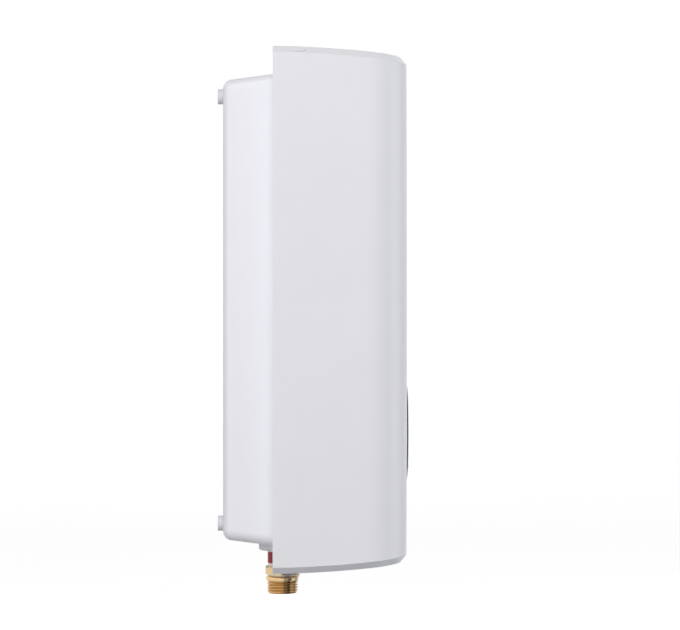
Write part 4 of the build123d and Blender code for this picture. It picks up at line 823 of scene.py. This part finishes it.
class Studio(bpy.types.Operator):
    """Sets up the camera, lamps, floor and backdrop"""

    bl_idname = "heater.studio"
    bl_label = "Studio"

    def mirrored(self, tree, place, studio):
        """Brightness and colour of the room in a reflection, by its heading round the upright
        axis.

        A grey card and a darker one stand beside the camera, and only reflections see them:
        each begins at its own heading, and both end at the same one. A third stands further
        round. The room is 1, and on the side of the cards it is cooler, as beside a window.
        """
        turn = add(tree, "Math", {0: place.outputs["Y"], 1: place.outputs["X"]},
                   operation="ARCTAN2")
        share = {}
        # Soft edges: from one heading in degrees to the next, from one value to the other.
        for name, start, end, low, high in (
                ("dark_start", -140.0, -134.0, 0.0, 1.0 - studio.card_strength),
                ("grey_start", -172.0, -160.0, 0.0, studio.card_grey),
                ("cards_end", -113.0, -107.0, 1.0, 0.0),
                ("third_start", -84.0, -74.0, 0.0, studio.side_card),
                ("third_end", -58.0, -46.0, 1.0, 0.0),
                ("cool_start", -176.0, -160.0, 0.0, 1.0),
                ("cool_end", -50.0, -20.0, 1.0, 0.0)):
            edge = add(tree, "MapRange",
                       {"Value": turn.outputs["Value"], "From Min": np.radians(start),
                        "From Max": np.radians(end), "To Min": low, "To Max": high},
                       interpolation_type="SMOOTHSTEP")
            share[name] = edge.outputs["Result"]
        for name, operation, first, second in (
                ("deeper", "MAXIMUM", "dark_start", "grey_start"),
                ("card", "MULTIPLY", "deeper", "cards_end"),
                ("third", "MULTIPLY", "third_start", "third_end"),
                ("cards", "ADD", "card", "third"),
                ("cool", "MULTIPLY", "cool_start", "cool_end")):
            both = add(tree, "Math", {0: share[first], 1: share[second]}, operation=operation)
            share[name] = both.outputs["Value"]
        brightness = add(tree, "Math", {0: 1.0, 1: share["cards"]}, operation="SUBTRACT")
        colour = add(tree, "Mix", {"Factor": share["cool"], 6: linear("#FFFFFF"),
                                   7: linear(studio.cool_side)}, data_type="RGBA")
        return brightness.outputs["Value"], colour.outputs[2]

    def rays(self, tree):
        """1 for a reflected ray, and 1 for one that shows the paper as it is: the camera's
        own, or one that has passed through something clear."""
        path = add(tree, "LightPath").outputs
        seen = add(tree, "Math", {0: path["Is Camera Ray"], 1: path["Is Transmission Ray"]},
                   operation="MAXIMUM")
        return path["Is Glossy Ray"], seen.outputs["Value"]

    def camera(self, scene, studio):
        """Camera square to the heater's left side, looking along +X."""
        data = bpy.data.cameras.new("side_camera")
        data.lens = studio.focal_length
        data.sensor_width = 36.0
        data.clip_end = 100.0
        camera = bpy.data.objects.new("side_camera", data)
        camera.location = (-studio.camera_distance, -studio.camera_depth, studio.camera_height)
        camera.rotation_euler = (np.pi / 2, 0.0, -np.pi / 2)
        scene.collection.objects.link(camera)
        scene.camera = camera

    def lamps(self, scene, studio):
        """Soft boxes that aim at the heater and stay out of the reflections."""
        middle = Vector((0.0, -0.08, 0.0))
        for name, place, size, power in (
                ("key_lamp", (-1.787, 0.57, 0.618), (3.5, 2.8), studio.key_power),
                ("front_lamp", (0.15, -2.15, 0.1), (2.1, 2.6), studio.fill_power),
                ("top_lamp", (-1.15, 0.1, 0.72), (0.7, 0.5), studio.top_power),
                ("far_lamp", (1.787, 0.57, 0.618), (3.5, 2.8), studio.far_power)):
            data = bpy.data.lights.new(name, "AREA")
            data.shape = "RECTANGLE"
            data.size, data.size_y = size
            data.energy = power
            holder = bpy.data.objects.new(name, data)
            holder.location = place
            aim = middle - Vector(place)
            holder.rotation_euler = aim.to_track_quat("-Z", "Y").to_euler()
            holder.visible_glossy = False
            scene.collection.objects.link(holder)

    def world(self, scene, studio):
        """White to the camera, cards and ceiling to a reflection, and for all other rays a
        soft light that changes from the ground to the sky."""
        scene.world = bpy.data.worlds.new("white_room")
        scene.world.use_nodes = True
        tree = scene.world.node_tree
        tree.nodes.clear()
        glossy, seen = self.rays(tree)
        heading = add(tree, "SeparateXYZ", {0: add(tree, "TexCoord").outputs["Generated"]})
        # The ceiling is grey in a reflection: 1 up to 30 degrees, less straight overhead.
        ceiling = add(tree, "MapRange", {"Value": heading.outputs["Z"], "From Min": 0.5,
                                         "From Max": 0.9, "To Min": 1.0, "To Max": 0.4},
                      interpolation_type="SMOOTHSTEP")
        brightness, colour = self.mirrored(tree, heading, studio)
        mirrored = add(tree, "Math", {0: ceiling.outputs["Result"], 1: brightness},
                       operation="MULTIPLY")
        paper = add(tree, "Mix", {"Factor": glossy, 6: linear("#FFFFFF"), 7: colour},
                    data_type="RGBA")
        dome = add(tree, "MapRange",
                   {"Value": heading.outputs["Z"], "From Min": -1.0,
                    "To Min": studio.ground_strength, "To Max": studio.sky_strength})
        lit = add(tree, "MapRange", {"Value": glossy, "To Min": dome.outputs["Result"],
                                     "To Max": mirrored.outputs["Value"]})
        strength = add(tree, "MapRange",
                       {"Value": seen, "To Min": lit.outputs["Result"], "To Max": 1.0})
        sky = add(tree, "Background",
                  {"Color": paper.outputs[2], "Strength": strength.outputs["Result"]})
        add(tree, "OutputWorld", {"Surface": sky.outputs["Background"]})

    def floor_paint(self, studio):
        """Pale matt paint, lifted to white for the camera; a reflection sees the cards."""
        material, tree, place = begun("pale_studio_floor")
        speck = add(tree, "TexNoise", {"Vector": place, "Scale": 3.0, "Detail": 3.0})
        tint = add(tree, "Mix", {"Factor": speck.outputs["Fac"], 6: linear("#9F9F9F"),
                                 7: linear("#ABABAB")}, data_type="RGBA")
        paint = add(tree, "BsdfDiffuse", {"Color": tint.outputs[2]})
        glossy, seen = self.rays(tree)
        lift = add(tree, "Math", {0: seen, 1: 0.9}, operation="MULTIPLY")
        glow = add(tree, "Emission", {"Strength": lift.outputs["Value"]})
        both = add(tree, "AddShader", {0: paint.outputs["BSDF"], 1: glow.outputs["Emission"]})
        spot = add(tree, "SeparateXYZ", {0: place})
        brightness, colour = self.mirrored(tree, spot, studio)
        room = add(tree, "Emission", {"Color": colour, "Strength": brightness})
        split = add(tree, "MixShader", {0: glossy, 1: both.outputs["Shader"],
                                        2: room.outputs["Emission"]})
        add(tree, "OutputMaterial", {"Surface": split.outputs["Shader"]})
        return material

    def sheet(self, scene, studio):
        """Floor and backdrop in one: flat, then a quarter circle up, then upright."""
        behind_camera, far, wall_top, half_width, radius = -6.0, 4.2, 4.5, 7.0, 0.8
        bend = np.linspace(0, np.pi / 2, 16)
        flat = np.array([[behind_camera, 0.0], [far - radius, 0.0]])
        cove = stacked(far - radius + radius * np.sin(bend), radius - radius * np.cos(bend))
        line = np.vstack([flat, cove[1:], [[far, wall_top]]])
        across = np.linspace(-half_width, half_width, 2)
        grid = stacked(np.repeat(line[:, :1], 2, axis=1),
                       np.repeat(across[None, :], len(line), axis=0),
                       np.repeat(line[:, 1:], 2, axis=1) + studio.floor_height)
        sheet = bpy.data.objects.new("studio_sheet",
                                     surface("studio_sheet", grid[:, ::-1], close_u=False))
        sheet.data.materials.append(self.floor_paint(studio))
        scene.collection.objects.link(sheet)

    def execute(self, context):
        scene = context.scene
        studio = scene.heater_studio
        scene.view_settings.view_transform = "Standard"
        for step in (self.camera, self.lamps, self.world, self.sheet):
            step(scene, studio)
        return {"FINISHED"}


class HeaterPanel(bpy.types.Panel):
    """Lists the steps that dress the water heater"""

    bl_idname = "HEATER_PT_steps"
    bl_label = "Water Heater"
    bl_space_type = "VIEW_3D"
    bl_region_type = "UI"
    bl_category = "Water Heater"

    def draw(self, context):
        layout = self.layout
        for step in STEPS:
            layout.operator(step.bl_idname)
        for group in GROUPS:
            holder = getattr(context.scene, group)
            for name in holder.__annotations__:
                layout.prop(holder, name)


STEPS = (Studio, HousingFinish, WaterWayFinish, ElectronicsFinish, DialFinish,
         ConnectionThreads, CrossScrews)
GROUPS = {"heater_sizes": HeaterSizes, "heater_colours": HeaterColours,
          "heater_studio": HeaterStudio}


def register():
    """Adds the classes and hangs the property groups on the scene."""
    for made in (*GROUPS.values(), *STEPS, HeaterPanel):
        bpy.utils.register_class(made)
    for name, group in GROUPS.items():
        setattr(bpy.types.Scene, name, bpy.props.PointerProperty(type=group))


def unregister():
    """Takes the property groups and classes away again."""
    for name in GROUPS:
        delattr(bpy.types.Scene, name)
    for made in (HeaterPanel, *reversed(STEPS), *GROUPS.values()):
        bpy.utils.unregister_class(made)


def main():
    """Registers the add-on and runs its steps."""
    register()
    for step in STEPS:
        group, name = step.bl_idname.split(".")
        getattr(getattr(bpy.ops, group), name)()


if __name__ == "__main__":
    main()
